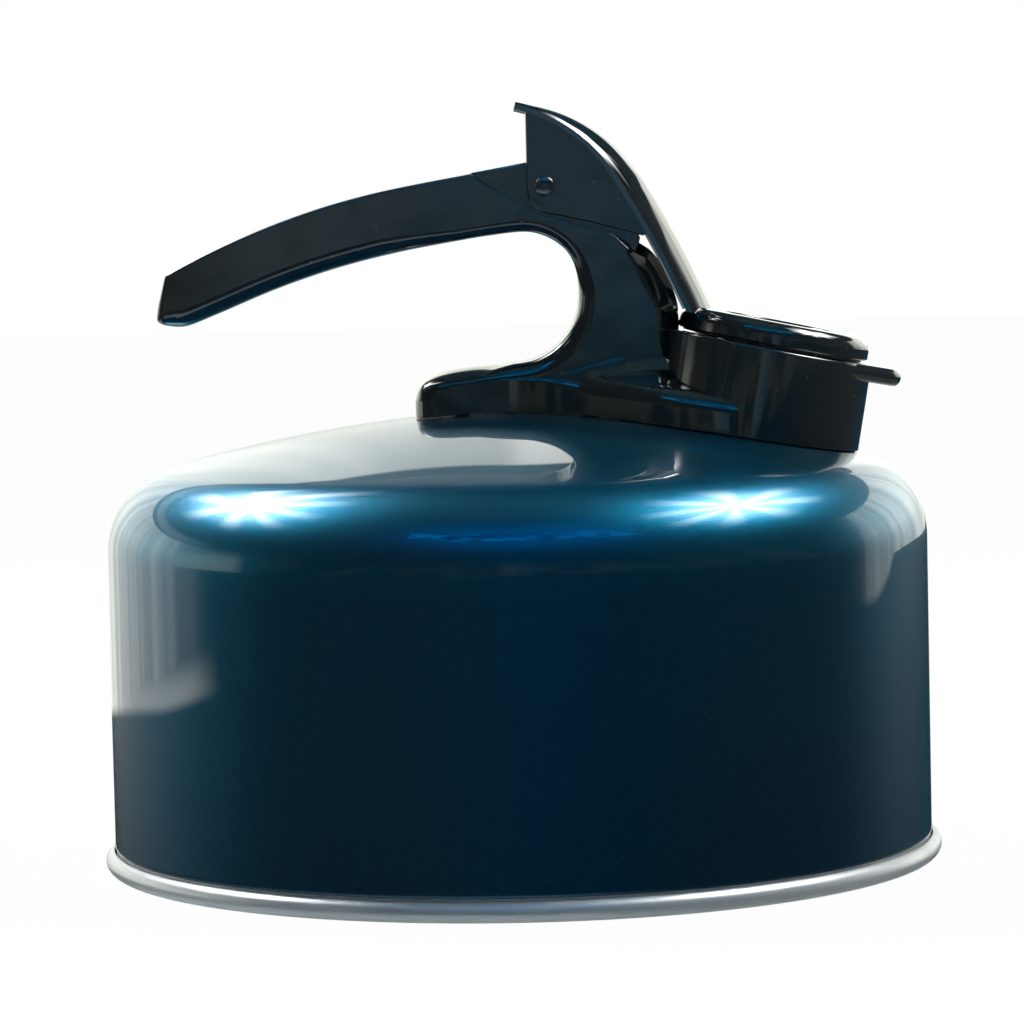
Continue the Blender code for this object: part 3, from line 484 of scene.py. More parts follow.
def make_body(lacquer, aluminium):
    """Drawn shell, lacquered outside down to a thin bare step above the rolled rim."""
    outer = body_line(30, 20)
    inner = offset_line(outer, BODY_WALL)
    inner[0] = (0, inner[0][1])
    foot = BEAD_RADIUS * 2 + BEAD_INSET
    lacquer_edge = foot + BARE_BAND
    wall = BODY_RADIUS
    bare = wall - BARE_STEP
    hem = [(wall, SHOULDER_START - FLAT_RUN), (wall, lacquer_edge + FLAT_RUN), (wall, lacquer_edge + 0.0002)]
    hem += [(wall - BARE_STEP * 0.4, lacquer_edge), (bare, lacquer_edge - 0.0001)]
    hem += [(bare, foot), (bare, BEAD_RADIUS), (wall - BODY_WALL, BEAD_RADIUS)]
    shell = turned("kettle_body", outer + hem + inner[::-1], UPRIGHT, closed=False)
    low, high = -SPOUT_DEPTH - CUT_REACH, -SPOUT_DEPTH + CUT_REACH
    carve(shell, cylinder("spout_hole", BORE_RADIUS + SPIGOT_WALL + GAP, low, high, SPOUT))
    finish_piece(shell, lacquer, "kettle", ["body_shell"])
    shell.data.materials.append(aluminium)
    for polygon in shell.data.polygons:
        x, y, z = polygon.center
        inner_wall = math.hypot(x, y) < wall - BODY_WALL * 0.9 and z < SHOULDER_START
        if z < lacquer_edge or inner_wall:
            polygon.material_index = 1
    return shell


def make_rim_and_base(aluminium):
    """Base pan with turned rings underneath and a rim rolled round the body's foot."""
    centre = (BODY_RADIUS - BEAD_INSET, BEAD_RADIUS)
    inner = BEAD_RADIUS - BEAD_WALL
    mouth = BODY_RADIUS + GAP - centre[0]
    start = -180 - math.degrees(math.asin((BASE_WALL - BEAD_RADIUS) / inner))
    inside = arc(centre, inner, start, math.degrees(math.acos(mouth / inner)), 16)
    outside = arc(centre, BEAD_RADIUS, math.degrees(math.acos(mouth / BEAD_RADIUS)), -90, 24)
    slope = BASE_RECESS_DEPTH * 2.5
    top = [(0, BASE_RECESS_DEPTH + BASE_WALL), (BASE_RECESS_RADIUS - slope, BASE_RECESS_DEPTH + BASE_WALL)]
    top.append((BASE_RECESS_RADIUS, BASE_WALL))
    under = [(BASE_RECESS_RADIUS, 0), (BASE_RECESS_RADIUS - slope, BASE_RECESS_DEPTH), (0, BASE_RECESS_DEPTH)]
    pan = turned("rolled_rim_and_base", top + inside + outside + under, UPRIGHT, closed=False)
    return finish_piece(pan, aluminium, "kettle", ["base_pan"])


def edge_drop(radius, depth):
    """How far a rounded edge has fallen at a depth in from the side face."""
    if radius <= 0 or depth >= radius:
        return 0.0
    return radius - math.sqrt(radius * radius - (radius - depth) ** 2)


def grip_top():
    """The grip's upper line in side view, from its end to the hinge."""
    return bend_path(above_apex(*GRIP_END), GRIP_TOP_HEADING, GRIP_TOP_BENDS)


def finger_curve():
    """From the foot of the neck round the fingers and along the grip to its lowest point."""
    below = arc(above_apex(0, FINGER_HOLE_HEIGHT), FINGER_HOLE_RADIUS, -90, 0, 5)
    above = [above_apex(*point) for point in (*FINGER_HOLE_TOP, *GRIP_UNDER, GRIP_LOWEST)]
    return smooth_run(below + above, 8)


def arm_outline():
    """Side view of grip, neck and tail, clockwise, as (x, z, crown, edge radius, plan round)."""
    outline = [(x, z, GRIP_CROWN, EDGE_SOFT, 0) for x, z in grip_top()]
    outline += [(*above_apex(*point), 0.0, 0.0003, 0) for point in NECK_SHOULDER]
    front = [(*above_apex(x, height), crown, EDGE_SOFT, 0) for x, height, crown in NECK_FRONT]
    outline += smooth_run(front, 6)
    outline.append((*above_apex(ROOT_FRONT_X, -ROOT_DEPTH), 0, 0, 0))
    outline.append((*above_apex(TAIL_END_X, -ROOT_DEPTH), 0, 0, 1))
    edge = TAIL_CENTRE_HEIGHT - TAIL_EDGE_HEIGHT
    tail = [(TAIL_END_X, dome_height(-TAIL_END_X) + TAIL_EDGE_HEIGHT * 0.5, 0, 0.0004, 1)]
    for along, height, fall, plan in TAIL_TOP:
        x = TAIL_END_X + along
        tail.append((x, dome_height(-x) + TAIL_CENTRE_HEIGHT * height, edge * fall, 0.0008, plan))
    under = finger_curve()
    tail.append((*under[0], 0.0, EDGE_ROUND, 0))
    outline += smooth_run(tail, 6)
    middle = APEX + FINGER_HOLE_HEIGHT
    for x, z in under[1:-1]:
        upper = min(1.0, max(0.0, (z - middle) / (FINGER_HOLE_RADIUS * 0.6)))
        forward = min(1.0, max(0.0, (x - HOLE_ROUND_START_X) / HOLE_ROUND_RUN))
        outline.append((x, z, 0.0, EDGE_ROUND + (HOLE_TOP_ROUND - EDGE_ROUND) * upper * forward, 0))
    low_z = APEX + GRIP_LOWEST[1]
    nose = [(*under[-1], 0.0, EDGE_ROUND, 0)]
    nose.append((GRIP_NOSE[0] + 0.0009, low_z + 0.0008, 0.0, EDGE_ROUND * 0.6, 0))
    nose.append((GRIP_NOSE[0], APEX + GRIP_NOSE[1], 0.0, EDGE_ROUND * 0.4, 0))
    nose.append((GRIP_END[0] - 0.0004, APEX + GRIP_END[1] - 0.0012, 0.0002, EDGE_SOFT, 0))
    return outline + smooth_run(nose, 5)


def make_arm(plastic, dome, cuts):
    """Grip, neck and tail: crowned faces and rounded edges, drawn from side to side."""
    outline = arm_outline()
    normals = outward_normals([(x, z) for x, z, _, _, _ in outline])
    # Depths in from the side face, closest together where the edge turns
    depths = (0.0, 0.00006, 0.00015, 0.0003, 0.0005, 0.0008, 0.0012, 0.0017, 0.0023, 0.003, 0.0039, 0.005,
              0.0065, 0.0085)
    stations = [-HALF_WIDTH + d for d in depths] + [0.0] + [HALF_WIDTH - d for d in depths[::-1]]
    rings = []
    for y in stations:
        depth = HALF_WIDTH - abs(y)
        points = []
        for (x, z, crown, radius, plan), (nx, nz) in zip(outline, normals):
            fall = crown * (y / HALF_WIDTH) ** 2 + edge_drop(radius, depth)
            shift = plan * edge_drop(TAIL_CORNER_RADIUS, depth)
            points.append((x - nx * fall + shift, y, z - nz * fall))
        rings.append(points)
    arm = lofted("grip_and_neck", rings)
    carve(arm, dome, *cuts)
    return finish_handle(arm, plastic, sharp=40)


def skirt_half_width(x):
    """Half the base's width, swelling evenly from the neck's to the tub's."""
    t = min(max((x - SKIRT_START_X) / (SKIRT_END_X - SKIRT_START_X), 0.0), 1.0)
    return HALF_WIDTH + 0.00003 + (TUB_RADIUS - HALF_WIDTH) * t ** 3 * (t * (6 * t - 15) + 10)


def make_skirt(plastic, dome, bore):
    """The flare of the base round the tub, with a hollow run-out against the neck."""
    rings = []
    steps = 56
    shares = [1 - (i / 24) ** 1.6 for i in range(25)]
    floor = APEX - SKIRT_ROOT
    core = HALF_WIDTH - SKIRT_OVERLAP
    for i in range(steps + 1):
        x = SKIRT_START_X + (SKIRT_END_X - SKIRT_START_X) * i / steps
        half = skirt_half_width(x)
        edge = dome_height(math.hypot(x, half)) + TAIL_EDGE_HEIGHT
        middle = dome_height(x) + TAIL_CENTRE_HEIGHT
        round_off = min(SKIRT_EDGE_ROUND, (half - core) * 0.9)
        fillet = SKIRT_FILLET * min(1.0, (half - core) / SKIRT_FILLET_RUN)
        fillet *= min(1.0, max(0.0, (SKIRT_FILLET_END_X - x) / SKIRT_FILLET_RUN))
        side = []
        for share in shares:
            y = core + (half - core) * share
            rise = (middle - edge) * (1 - (y / half) ** 2) + fillet * (1 - share) ** 3
            inset = half - y
            if inset < round_off:
                rise -= round_off - math.sqrt(round_off ** 2 - (round_off - inset) ** 2)
            side.append((y, edge + rise))
        far = [(x, y, z) for y, z in side]
        near = [(x, -y, z) for y, z in side]
        rings.append([(x, -half, floor), *near, *far[::-1], (x, half, floor)])
    skirt = lofted("handle_skirt", rings)
    carve(skirt, dome, bore)
    return finish_handle(skirt, plastic, sharp=40)


def make_hub(plastic, cuts):
    """The narrow part between the lever's cheeks, with its boss round the pin."""
    pin = above_apex(PIN_X, PIN_HEIGHT)
    behind = [above_apex(*point) for point in ((0.006, 0.0435), (-0.010, 0.0440), (-0.013, 0.0500))]
    front = [above_apex(*point) for point in HUB_FRONT]
    outline = [grip_top()[-1], *arc(pin, HUB_RADIUS, 105, -35, 28)] + front + behind
    hub = plate("hinge_hub", outline, -HUB_HALF, HUB_HALF, HUB_EDGE_ROUND)
    carve(hub, *cuts)
    return finish_handle(hub, plastic)


def make_tub(plastic, dome):
    """The spout's round wall, its mouth and the spigot that goes through the dome."""
    floor = -SPOUT_DEPTH - TUB_ROOT
    profile = [(TUB_RADIUS, floor), (TUB_RADIUS, 0.0), (BORE_RADIUS, 0.0), (BORE_RADIUS, floor)]
    wall = turned("spout_tub", round_corners(profile, MOUTH_ROUND, (1, 2), 4), TUB)
    to_tub = TUB.inverted()
    lean = math.tan(math.radians(MOUTH_TILT - TUB_TILT))
    for vert in wall.data.vertices:
        local = to_tub @ vert.co
        if local.z > -0.002:
            local.z -= local.x * lean
        if math.hypot(local.x, local.y) < BORE_RADIUS + 0.001:
            local.x += LID_OFFSET
        vert.co = TUB @ local
    carve(wall, dome)
    finish_handle(wall, plastic)
    low = -SPOUT_DEPTH - SPIGOT_DROP
    outer = BORE_RADIUS + SPIGOT_WALL
    high = -SPOUT_DEPTH + SPIGOT_RISE
    profile = [(BORE_RADIUS, high), (outer, high), (outer, low), (BORE_RADIUS, low)]
    spigot = turned("spout_spigot", round_corners(profile, SPIGOT_ROUND, (2, 3)), SPOUT, 96)
    finish_handle(spigot, plastic)


def make_lip(plastic):
    """The pouring lip: two tangents from the tub to a round tip, hollowed on top."""
    tip = LIP_REACH - LIP_TIP_RADIUS
    spread = math.degrees(math.acos((TUB_RADIUS - LIP_TIP_RADIUS) / tip))
    sections = 14
    rings = []
    for i in range(sections + 1):
        angle = math.pi * i / sections
        depth = LIP_THICKNESS * (1 - math.cos(angle)) / 2
        shrink = LIP_EDGE_ROUND * (1 - math.sin(angle))
        outline = arc((0, 0), TUB_RADIUS - LIP_ROOT, spread, -spread, 16)
        outline.append(arc((0, 0), TUB_RADIUS - shrink, -spread, 0, 1)[0])
        outline += arc((tip, 0), LIP_TIP_RADIUS - shrink, -spread, spread, 28)
        outline.append(arc((0, 0), TUB_RADIUS - shrink, spread, 0, 1)[0])
        rings.append([MOUTH @ Vector((u, v, LIP_PROUD - depth)) for u, v in outline])
    lip = lofted("pouring_lip", rings)
    scoop_frame = MOUTH @ Matrix.Translation((0, 0, LIP_SCOOP_RADIUS - LIP_SCOOP_DEPTH))
    scoop_frame = scoop_frame @ Matrix.Rotation(math.pi / 2, 4, "Y")
    carve(lip, cylinder("scoop", LIP_SCOOP_RADIUS, LID_OFFSET + LID_RADIUS + 0.0004, 0.05, scoop_frame))
    return finish_handle(lip, plastic, sharp=45)


def lever_line():
    """The lever's top line in side view, from the thumb's end down to the lid."""
    return bend_path(above_apex(*LEVER_START), LEVER_HEADING, LEVER_BENDS)


def lever_rings():
    """The lever's crowned outer wall, as rings of an outer and an inner arc."""
    path = lever_line()
    inner_side = offset_line(path, 1.0)
    rings = []
    travelled = 0.0
    steps = 36
    for i, point in enumerate(path):
        if i:
            travelled += math.dist(point, path[i - 1])
        share = min(travelled / LEVER_CROWN_RUN, 1.0)
        crown = LEVER_CROWN_TOP + (LEVER_CROWN - LEVER_CROWN_TOP) * share
        inward = Vector((inner_side[i][0] - point[0], inner_side[i][1] - point[1]))
        ring = []
        for side, depth in ((1, 0.0), (-1, LEVER_WALL)):
            for k in range(steps + 1):
                across = side * (2 * k / steps - 1)
                edge = STRIP_EDGE_ROUND * max(0.0, (abs(across) - 0.95) / 0.05) ** 2
                away = depth + (edge if side == 1 else -edge) - crown * (1 - across * across)
                ring.append((point[0] + inward[0] * away, across * HALF_WIDTH, point[1] + inward[1] * away))
        rings.append(ring)
    return rings


def make_lever(plastic, polished):
    """Lever and lid: crowned strip, two cheeks on the pin, the spring's rib and the lid."""
    strip = lofted("lever_strip", lever_rings())
    recess = cylinder("strip_trim", LID_RECESS_RADIUS, -0.004, LID_HEIGHT + 0.02, LID)
    under = block("strip_floor", (-0.05, -0.05, -0.05), (0.05, 0.05, LID_HEIGHT - LID_WALL * 0.9), LID)
    carve(strip, recess, under)
    finish_lever(strip, polished, sharp=40)
    under_strip = offset_line(lever_line(), CHEEK_TOP_INSET)
    foot_z = APEX + CHEEK_FOOT[-1][1]
    wanted = [(x, z) for x, z in under_strip if z > foot_z and x > CHEEK_BACK_X]
    corner = (CHEEK_BACK_X + CHEEK_CORNER_RADIUS, APEX + PIN_HEIGHT - 0.0006)
    outline = [(CHEEK_BACK_X, wanted[0][1])] + wanted + [above_apex(*point) for point in CHEEK_FOOT[::-1]]
    outline += arc(corner, CHEEK_CORNER_RADIUS, 265, 180, 14)
    for side, low, high in (("near", -CHEEK_OUTER, -CHEEK_INNER), ("far", CHEEK_INNER, CHEEK_OUTER)):
        cheek = plate(f"lever_cheek_{side}", outline, low, high, PLATE_EDGE_ROUND)
        carve(cheek, cylinder("cheek_hole", PIN_RADIUS + GAP * 0.3, -CUT_REACH, CUT_REACH, PIN_AXIS, 48))
        finish_lever(cheek, plastic)
    lean = math.radians(SPRING_LEG_ANGLE + 90)
    away = SPRING_COIL_RADIUS + SPRING_WIRE_RADIUS + RIB_ROOM
    foot = Vector((PIN_X, APEX + PIN_HEIGHT)) + Vector((math.sin(lean), -math.cos(lean))) * away
    along = Vector((math.cos(lean), math.sin(lean)))
    across = Vector((math.sin(lean), -math.cos(lean))) * RIB_WALL
    near, far = foot + along * (SPRING_LEG - RIB_DROP), foot + along * (SPRING_LEG + RIB_RISE)
    outline = [tuple(near), tuple(far), tuple(far + across), tuple(near + across)]
    rib = plate("spring_rib", outline, -RIB_HALF_WIDTH, RIB_HALF_WIDTH, PLATE_EDGE_ROUND)
    finish_lever(rib, plastic)
    make_lid(plastic)


def make_lid(plastic):
    """Lid with a rounded rim, the whistle's recess and the boss that holds the whistle."""
    hole = WHISTLE_RADIUS + GAP
    floor = LID_HEIGHT - LID_RECESS_DEPTH
    groove_inner = SEAL_INNER_RADIUS - GAP
    groove_outer = SEAL_INNER_RADIUS + SEAL_WIDTH + GAP
    rim_inner = LID_RADIUS - LID_RIM_WIDTH
    boss = hole + LID_WALL
    profile = [(hole, floor), (LID_RECESS_RADIUS, floor)]
    recess_edge = (LID_RECESS_RADIUS + LID_RECESS_ROUND, LID_HEIGHT - LID_RECESS_ROUND)
    profile += arc(recess_edge, LID_RECESS_ROUND, 180, 90, 4)
    profile += arc((LID_RADIUS - LID_EDGE_ROUND, LID_HEIGHT - LID_EDGE_ROUND), LID_EDGE_ROUND, 90, 0, 14)
    profile += [(LID_RADIUS, 0.0003), (LID_RADIUS - 0.0003, 0), (groove_outer, 0), (groove_outer, SEAL_DEPTH)]
    profile += [(groove_inner, SEAL_DEPTH), (groove_inner, 0), (rim_inner, 0), (rim_inner, floor - LID_WALL)]
    profile += [(boss, floor - LID_WALL), (boss, 0.0), (hole, 0.0)]
    lid = turned("whistle_lid", profile, LID)
    return finish_lever(lid, plastic)


def make_whistle_cap(steel):
    """Pressed cap with a shallow dish round its hole."""
    floor = LID_HEIGHT - LID_RECESS_DEPTH
    low = floor + GAP
    high = low + WHISTLE_CAP_WALL
    radius = LID_RECESS_RADIUS - GAP
    hole = WHISTLE_HOLE_RADIUS
    top = [(hole, high - 0.0002), (hole + 0.0003, high), (hole + 0.0016, high)]
    top += [(radius * 0.62, high - 0.0001), (radius * 0.70, high), (radius - 0.0003, high)]
    top.append((radius, high - 0.0003))
    cap = turned("whistle_face", top + [(radius, low), (hole, low)], LID, 96)
    return finish_piece(cap, steel, "lever", ["whistle_cap"])


def make_pin(steel):
    """Rivet pin with a domed head on the near side."""
    head = CHEEK_OUTER + GAP
    end = CHEEK_OUTER + GAP + RETAINER_WALL + PIN_TAIL
    dome = arc((0, head), PIN_HEAD_RADIUS, 90, 0, 12)
    profile = [(r, head + (z - head) * PIN_HEAD_HEIGHT / PIN_HEAD_RADIUS) for r, z in dome]
    profile[0] = (0, profile[0][1])
    profile += [(PIN_RADIUS, head), (PIN_RADIUS, -end), (0, -end)]
    pin = turned("rivet_pin", profile, PIN_AXIS, 48, closed=False)
    return finish_piece(pin, steel, "kettle", ["hinge_pin"])


def new_material(name):
    """A fresh material with its nodes, its links and its surface shader."""
    material = bpy.data.materials.new(name)
    material.use_nodes = True
    nodes, links = material.node_tree.nodes, material.node_tree.links
    return material, nodes, links, nodes["Principled BSDF"]


def effect_group(name, inputs, output):
    """An empty shader node group with named number inputs and one named number output."""
    group = bpy.data.node_groups.new(name, "ShaderNodeTree")
    for label, value in inputs:
        socket = group.interface.new_socket(name=label, in_out="INPUT", socket_type="NodeSocketFloat")
        socket.default_value = value
    group.interface.new_socket(name=output, in_out="OUTPUT", socket_type="NodeSocketFloat")
    return group, group.nodes.new("NodeGroupInput"), group.nodes.new("NodeGroupOutput")


def speckle_group():
    """Dots of a size and share, at random over the surface: dust, or lacquer flake."""
    inputs = (("Dots per Metre", 900.0), ("Dot Size", 0.18), ("Share", 0.1))
    group, given, result = effect_group("Speckle", inputs, "Mask")
    nodes, links = group.nodes, group.links
    coords = nodes.new("ShaderNodeTexCoord")
    dots = nodes.new("ShaderNodeTexVoronoi")
    links.new(coords.outputs["Object"], dots.inputs["Vector"])
    links.new(given.outputs["Dots per Metre"], dots.inputs["Scale"])
    near = compute(nodes, links, "LESS_THAN", dots.outputs["Distance"], given.outputs["Dot Size"])
    split = nodes.new("ShaderNodeSeparateColor")
    links.new(dots.outputs["Color"], split.inputs["Color"])
    chosen = compute(nodes, links, "LESS_THAN", split.outputs["Red"], given.outputs["Share"])
    links.new(compute(nodes, links, "MULTIPLY", near, chosen), result.inputs["Mask"])
    return group


def ripple_group():
    """Gentle unevenness of a moulded or sprayed surface, as a height."""
    group, given, result = effect_group("Ripple", (("Waves per Metre", 60.0), ("Detail", 2.0)), "Height")
    nodes, links = group.nodes, group.links
    coords = nodes.new("ShaderNodeTexCoord")
    noise = nodes.new("ShaderNodeTexNoise")
    links.new(coords.outputs["Object"], noise.inputs["Vector"])
    links.new(given.outputs["Waves per Metre"], noise.inputs["Scale"])
    links.new(given.outputs["Detail"], noise.inputs["Detail"])
    links.new(noise.outputs["Fac"], result.inputs["Height"])
    return group


def give(node, **values):
    """Gives a node's named inputs their values."""
    for label, value in values.items():
        node.inputs[label.replace("_", " ")].default_value = value


def place_group(nodes, group, **values):
    node = nodes.new("ShaderNodeGroup")
    node.node_tree = group
    give(node, **values)
    return node


def ramp(nodes, stops):
    node = nodes.new("ShaderNodeValToRGB")
    while len(node.color_ramp.elements) < len(stops):
        node.color_ramp.elements.new(0.5)
    for element, (position, colour) in zip(node.color_ramp.elements, stops):
        element.position = position
        element.color = (*colour, 1.0) if len(colour) == 3 else colour
    return node


def ramp_into(nodes, links, value, socket, stops):
    """Feeds a socket from a value through a colour ramp."""
    node = ramp(nodes, stops)
    links.new(value, node.inputs["Fac"])
    links.new(node.outputs["Color"], socket)


def mix_colour(nodes, links, factor, first, second):
    node = nodes.new("ShaderNodeMix")
    node.data_type = "RGBA"
    links.new(factor, node.inputs["Factor"])
    for socket, value in ((node.inputs["A"], first), (node.inputs["B"], second)):
        if isinstance(value, tuple):
            socket.default_value = (*value, 1.0)
        else:
            links.new(value, socket)
    return node.outputs["Result"]


def bump_from(nodes, links, height, distance, strength):
    bump = nodes.new("ShaderNodeBump")
    give(bump, Distance=distance, Strength=strength)
    links.new(height, bump.inputs["Height"])
    return bump.outputs["Normal"]


def lacquer_material(speckle, ripple):
    """Metallic blue base with fine flake under a clear coat; its colour is painted lighter and a shade
    greener over the shoulder and dome, a painted glow.
    """
    material, nodes, links, shader = new_material("blue lacquer")
    coords = nodes.new("ShaderNodeTexCoord")
    split = nodes.new("ShaderNodeSeparateXYZ")
    links.new(coords.outputs["Object"], split.inputs["Vector"])
    height = nodes.new("ShaderNodeMapRange")
    give(height, From_Min=0.0, From_Max=0.1)
    links.new(split.outputs["Z"], height.inputs["Value"])
    # Painted glow: the base colour grows lighter and greener with height, standing in for the light that
    # falls on the shoulder and dome.
    tones = ((0.0, (0.0005, 0.062, 0.125)), (0.70, (0.0005, 0.085, 0.170)), (0.82, (0.0005, 0.135, 0.240)))
    painted_glow_tone = ramp(nodes, tones)
    links.new(height.outputs["Result"], painted_glow_tone.inputs["Fac"])
    flake = place_group(nodes, speckle, Dots_per_Metre=3600.0, Dot_Size=0.40, Share=0.20)
    colour = mix_colour(nodes, links, flake.outputs["Mask"], painted_glow_tone.outputs["Color"], (0.003, 0.15, 0.24))
    links.new(colour, shader.inputs["Base Color"])
    give(shader, Metallic=0.9, Roughness=0.32, Coat_Weight=1.0, Coat_Roughness=0.012, Coat_IOR=1.55)
    grain = place_group(nodes, ripple, Waves_per_Metre=4500.0, Detail=0.0)
    links.new(bump_from(nodes, links, grain.outputs["Height"], 0.00006, 0.5), shader.inputs["Normal"])
    return material


def plastic_material(speckle, ripple, coat_ior=1.75):
    """Glossy black moulding with faint sink marks and a little dust."""
    material, nodes, links, shader = new_material("black plastic")
    dust = place_group(nodes, speckle, Dots_per_Metre=700.0, Dot_Size=0.16, Share=0.05)
    colour = mix_colour(nodes, links, dust.outputs["Mask"], (0.010, 0.014, 0.016), (0.10, 0.11, 0.10))
    links.new(colour, shader.inputs["Base Color"])
    give(shader, Roughness=0.10, IOR=1.56, Coat_Weight=1.0, Coat_Roughness=0.03, Coat_IOR=coat_ior)
    waves = place_group(nodes, ripple, Waves_per_Metre=75.0, Detail=1.0)
    links.new(bump_from(nodes, links, waves.outputs["Height"], 0.0012, 0.35), shader.inputs["Normal"])
    return material


def aluminium_material(ripple):
    """Bare rolled aluminium with rings left by the roller."""
    material, nodes, links, shader = new_material("rolled aluminium")
    coords = nodes.new("ShaderNodeTexCoord")
    split = nodes.new("ShaderNodeSeparateXYZ")
    links.new(coords.outputs["Object"], split.inputs["Vector"])
    lengths = nodes.new("ShaderNodeVectorMath")
    lengths.operation = "LENGTH"
    flat = nodes.new("ShaderNodeCombineXYZ")
    links.new(split.outputs["X"], flat.inputs["X"])
    links.new(split.outputs["Y"], flat.inputs["Y"])
    links.new(flat.outputs["Vector"], lengths.inputs[0])
    rings = nodes.new("ShaderNodeCombineXYZ")
    links.new(lengths.outputs["Value"], rings.inputs["X"])
    links.new(split.outputs["Z"], rings.inputs["Y"])
    noise = nodes.new("ShaderNodeTexNoise")
    give(noise, Scale=2600.0, Detail=3.0)
    links.new(rings.outputs["Vector"], noise.inputs["Vector"])
    patches = place_group(nodes, ripple, Waves_per_Metre=130.0, Detail=4.0)
    rough = ((0.3, (0.33, 0.33, 0.33)), (0.7, (0.48, 0.48, 0.48)))
    ramp_into(nodes, links, patches.outputs["Height"], shader.inputs["Roughness"], rough)
    tones = ((0.3, (0.54, 0.56, 0.56)), (0.7, (0.68, 0.70, 0.70)))
    ramp_into(nodes, links, noise.outputs["Fac"], shader.inputs["Base Color"], tones)
    give(shader, Metallic=0.55)
    links.new(bump_from(nodes, links, noise.outputs["Fac"], 0.00003, 0.3), shader.inputs["Normal"])
    return material


def plain_metal(name, colour, roughness, ripple):
    """Small metal pieces: steel or brass with faint handling marks."""
    material, nodes, links, shader = new_material(name)
    marks = place_group(nodes, ripple, Waves_per_Metre=900.0, Detail=4.0)
    rough = ((0.3, (roughness * 0.7,) * 3), (0.75, (roughness * 1.5,) * 3))
    ramp_into(nodes, links, marks.outputs["Height"], shader.inputs["Roughness"], rough)
    tones = ((0.3, tuple(c * 0.85 for c in colour)), (0.7, colour))
    ramp_into(nodes, links, marks.outputs["Height"], shader.inputs["Base Color"], tones)
    give(shader, Metallic=1.0)
    return material


def silicone_material(ripple):
    material, nodes, links, shader = new_material("grey silicone")
    waves = place_group(nodes, ripple, Waves_per_Metre=1500.0, Detail=3.0)
    tones = ((0.3, (0.055, 0.055, 0.055)), (0.7, (0.09, 0.09, 0.09)))
    ramp_into(nodes, links, waves.outputs["Height"], shader.inputs["Base Color"], tones)
    give(shader, Roughness=0.55)
    links.new(bump_from(nodes, links, waves.outputs["Height"], 0.00005, 0.4), shader.inputs["Normal"])
    return material


def dress_inner_nodes(finishes):
    """Gives the pieces that stay as they are their materials."""
    for name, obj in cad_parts.items():
        for part_of_name, material in finishes:
            if part_of_name in name:
                obj.data.materials.clear()
                obj.data.materials.append(material)
                break


def direction(azimuth, elevation):
    """A unit vector, with azimuth in degrees from the camera's side towards the spout."""
    a, e = math.radians(azimuth), math.radians(elevation)
    return Vector((math.sin(a) * math.cos(e), -math.cos(a) * math.cos(e), math.sin(e)))


def facing_kettle(azimuth, elevation, distance):
    """A frame at a place round the kettle, with its Z towards the kettle's middle."""
    aim = Vector((0, 0, AIM_HEIGHT))
    place = aim + direction(azimuth, elevation) * distance
    return Matrix.Translation(place) @ (aim - place).to_track_quat("Z", "Y").to_matrix().to_4x4()


def umbrella(name, azimuth, elevation, distance, radius, strength):
    """A round photographic umbrella: a disc that glows along its ribs and fades to its edge."""
    bm = bmesh.new()
    bmesh.ops.create_circle(bm, cap_ends=True, segments=48, radius=radius)
    bmesh.ops.scale(bm, vec=(UMBRELLA_STRETCH, 1.0, 1.0), verts=bm.verts)
    stand = facing_kettle(azimuth, elevation, distance)
    obj = raw_object(name, bm, stand)
    material, nodes, links, _ = new_material(name)
    coords = nodes.new("ShaderNodeTexCoord")
    flat = nodes.new("ShaderNodeMapping")
    flat.vector_type = "TEXTURE"
    give(flat, Location=stand.to_translation(), Rotation=stand.to_euler(), Scale=(UMBRELLA_STRETCH, 1.0, 1.0))
    links.new(coords.outputs["Object"], flat.inputs["Vector"])
    split = nodes.new("ShaderNodeSeparateXYZ")
    links.new(flat.outputs["Vector"], split.inputs["Vector"])
    angle = compute(nodes, links, "ARCTAN2", split.outputs["X"], split.outputs["Y"])
    wave = compute(nodes, links, "COSINE", compute(nodes, links, "MULTIPLY", angle, 8.0), 0.0)
    ribs = between(nodes, links, wave, -0.6, 1.0)
    span = nodes.new("ShaderNodeVectorMath")
    span.operation = "LENGTH"
    links.new(flat.outputs["Vector"], span.inputs[0])
    middle = between(nodes, links, span.outputs["Value"], radius, 0.0)
    glow = compute(nodes, links, "MULTIPLY", middle, compute(nodes, links, "ADD", ribs, middle))
    lit = nodes.new("ShaderNodeEmission")
    links.new(compute(nodes, links, "MULTIPLY", glow, strength), lit.inputs["Strength"])
    links.new(lit.outputs["Emission"], nodes["Material Output"].inputs["Surface"])
    obj.data.materials.append(material)


def window(azimuths, elevation, distance, size, strength, colour):
    """Small panes of a window high in front, cool in colour."""
    bm = bmesh.new()
    for azimuth in azimuths:
        stand = facing_kettle(azimuth, elevation, distance)
        bmesh.ops.create_grid(bm, x_segments=1, y_segments=1, size=size, matrix=stand)
    obj = raw_object("window_panes", bm)
    material, nodes, links, _ = new_material("window light")
    lit = nodes.new("ShaderNodeEmission")
    lit.inputs["Color"].default_value = (*colour, 1.0)
    coords = nodes.new("ShaderNodeTexCoord")
    clouds = nodes.new("ShaderNodeTexNoise")
    give(clouds, Scale=5.0, Detail=2.0)
    links.new(coords.outputs["Object"], clouds.inputs["Vector"])
    glow = between(nodes, links, clouds.outputs["Fac"], 0.38, 0.66)
    links.new(compute(nodes, links, "MULTIPLY", glow, strength), lit.inputs["Strength"])
    links.new(lit.outputs["Emission"], nodes["Material Output"].inputs["Surface"])
    obj.data.materials.append(material)


def compute(nodes, links, operation, first, second):
    node = nodes.new("ShaderNodeMath")
    node.operation = operation
    for socket, value in zip(node.inputs, (first, second)):
        if isinstance(value, float):
            socket.default_value = value
        else:
            links.new(value, socket)
    return node.outputs[0]


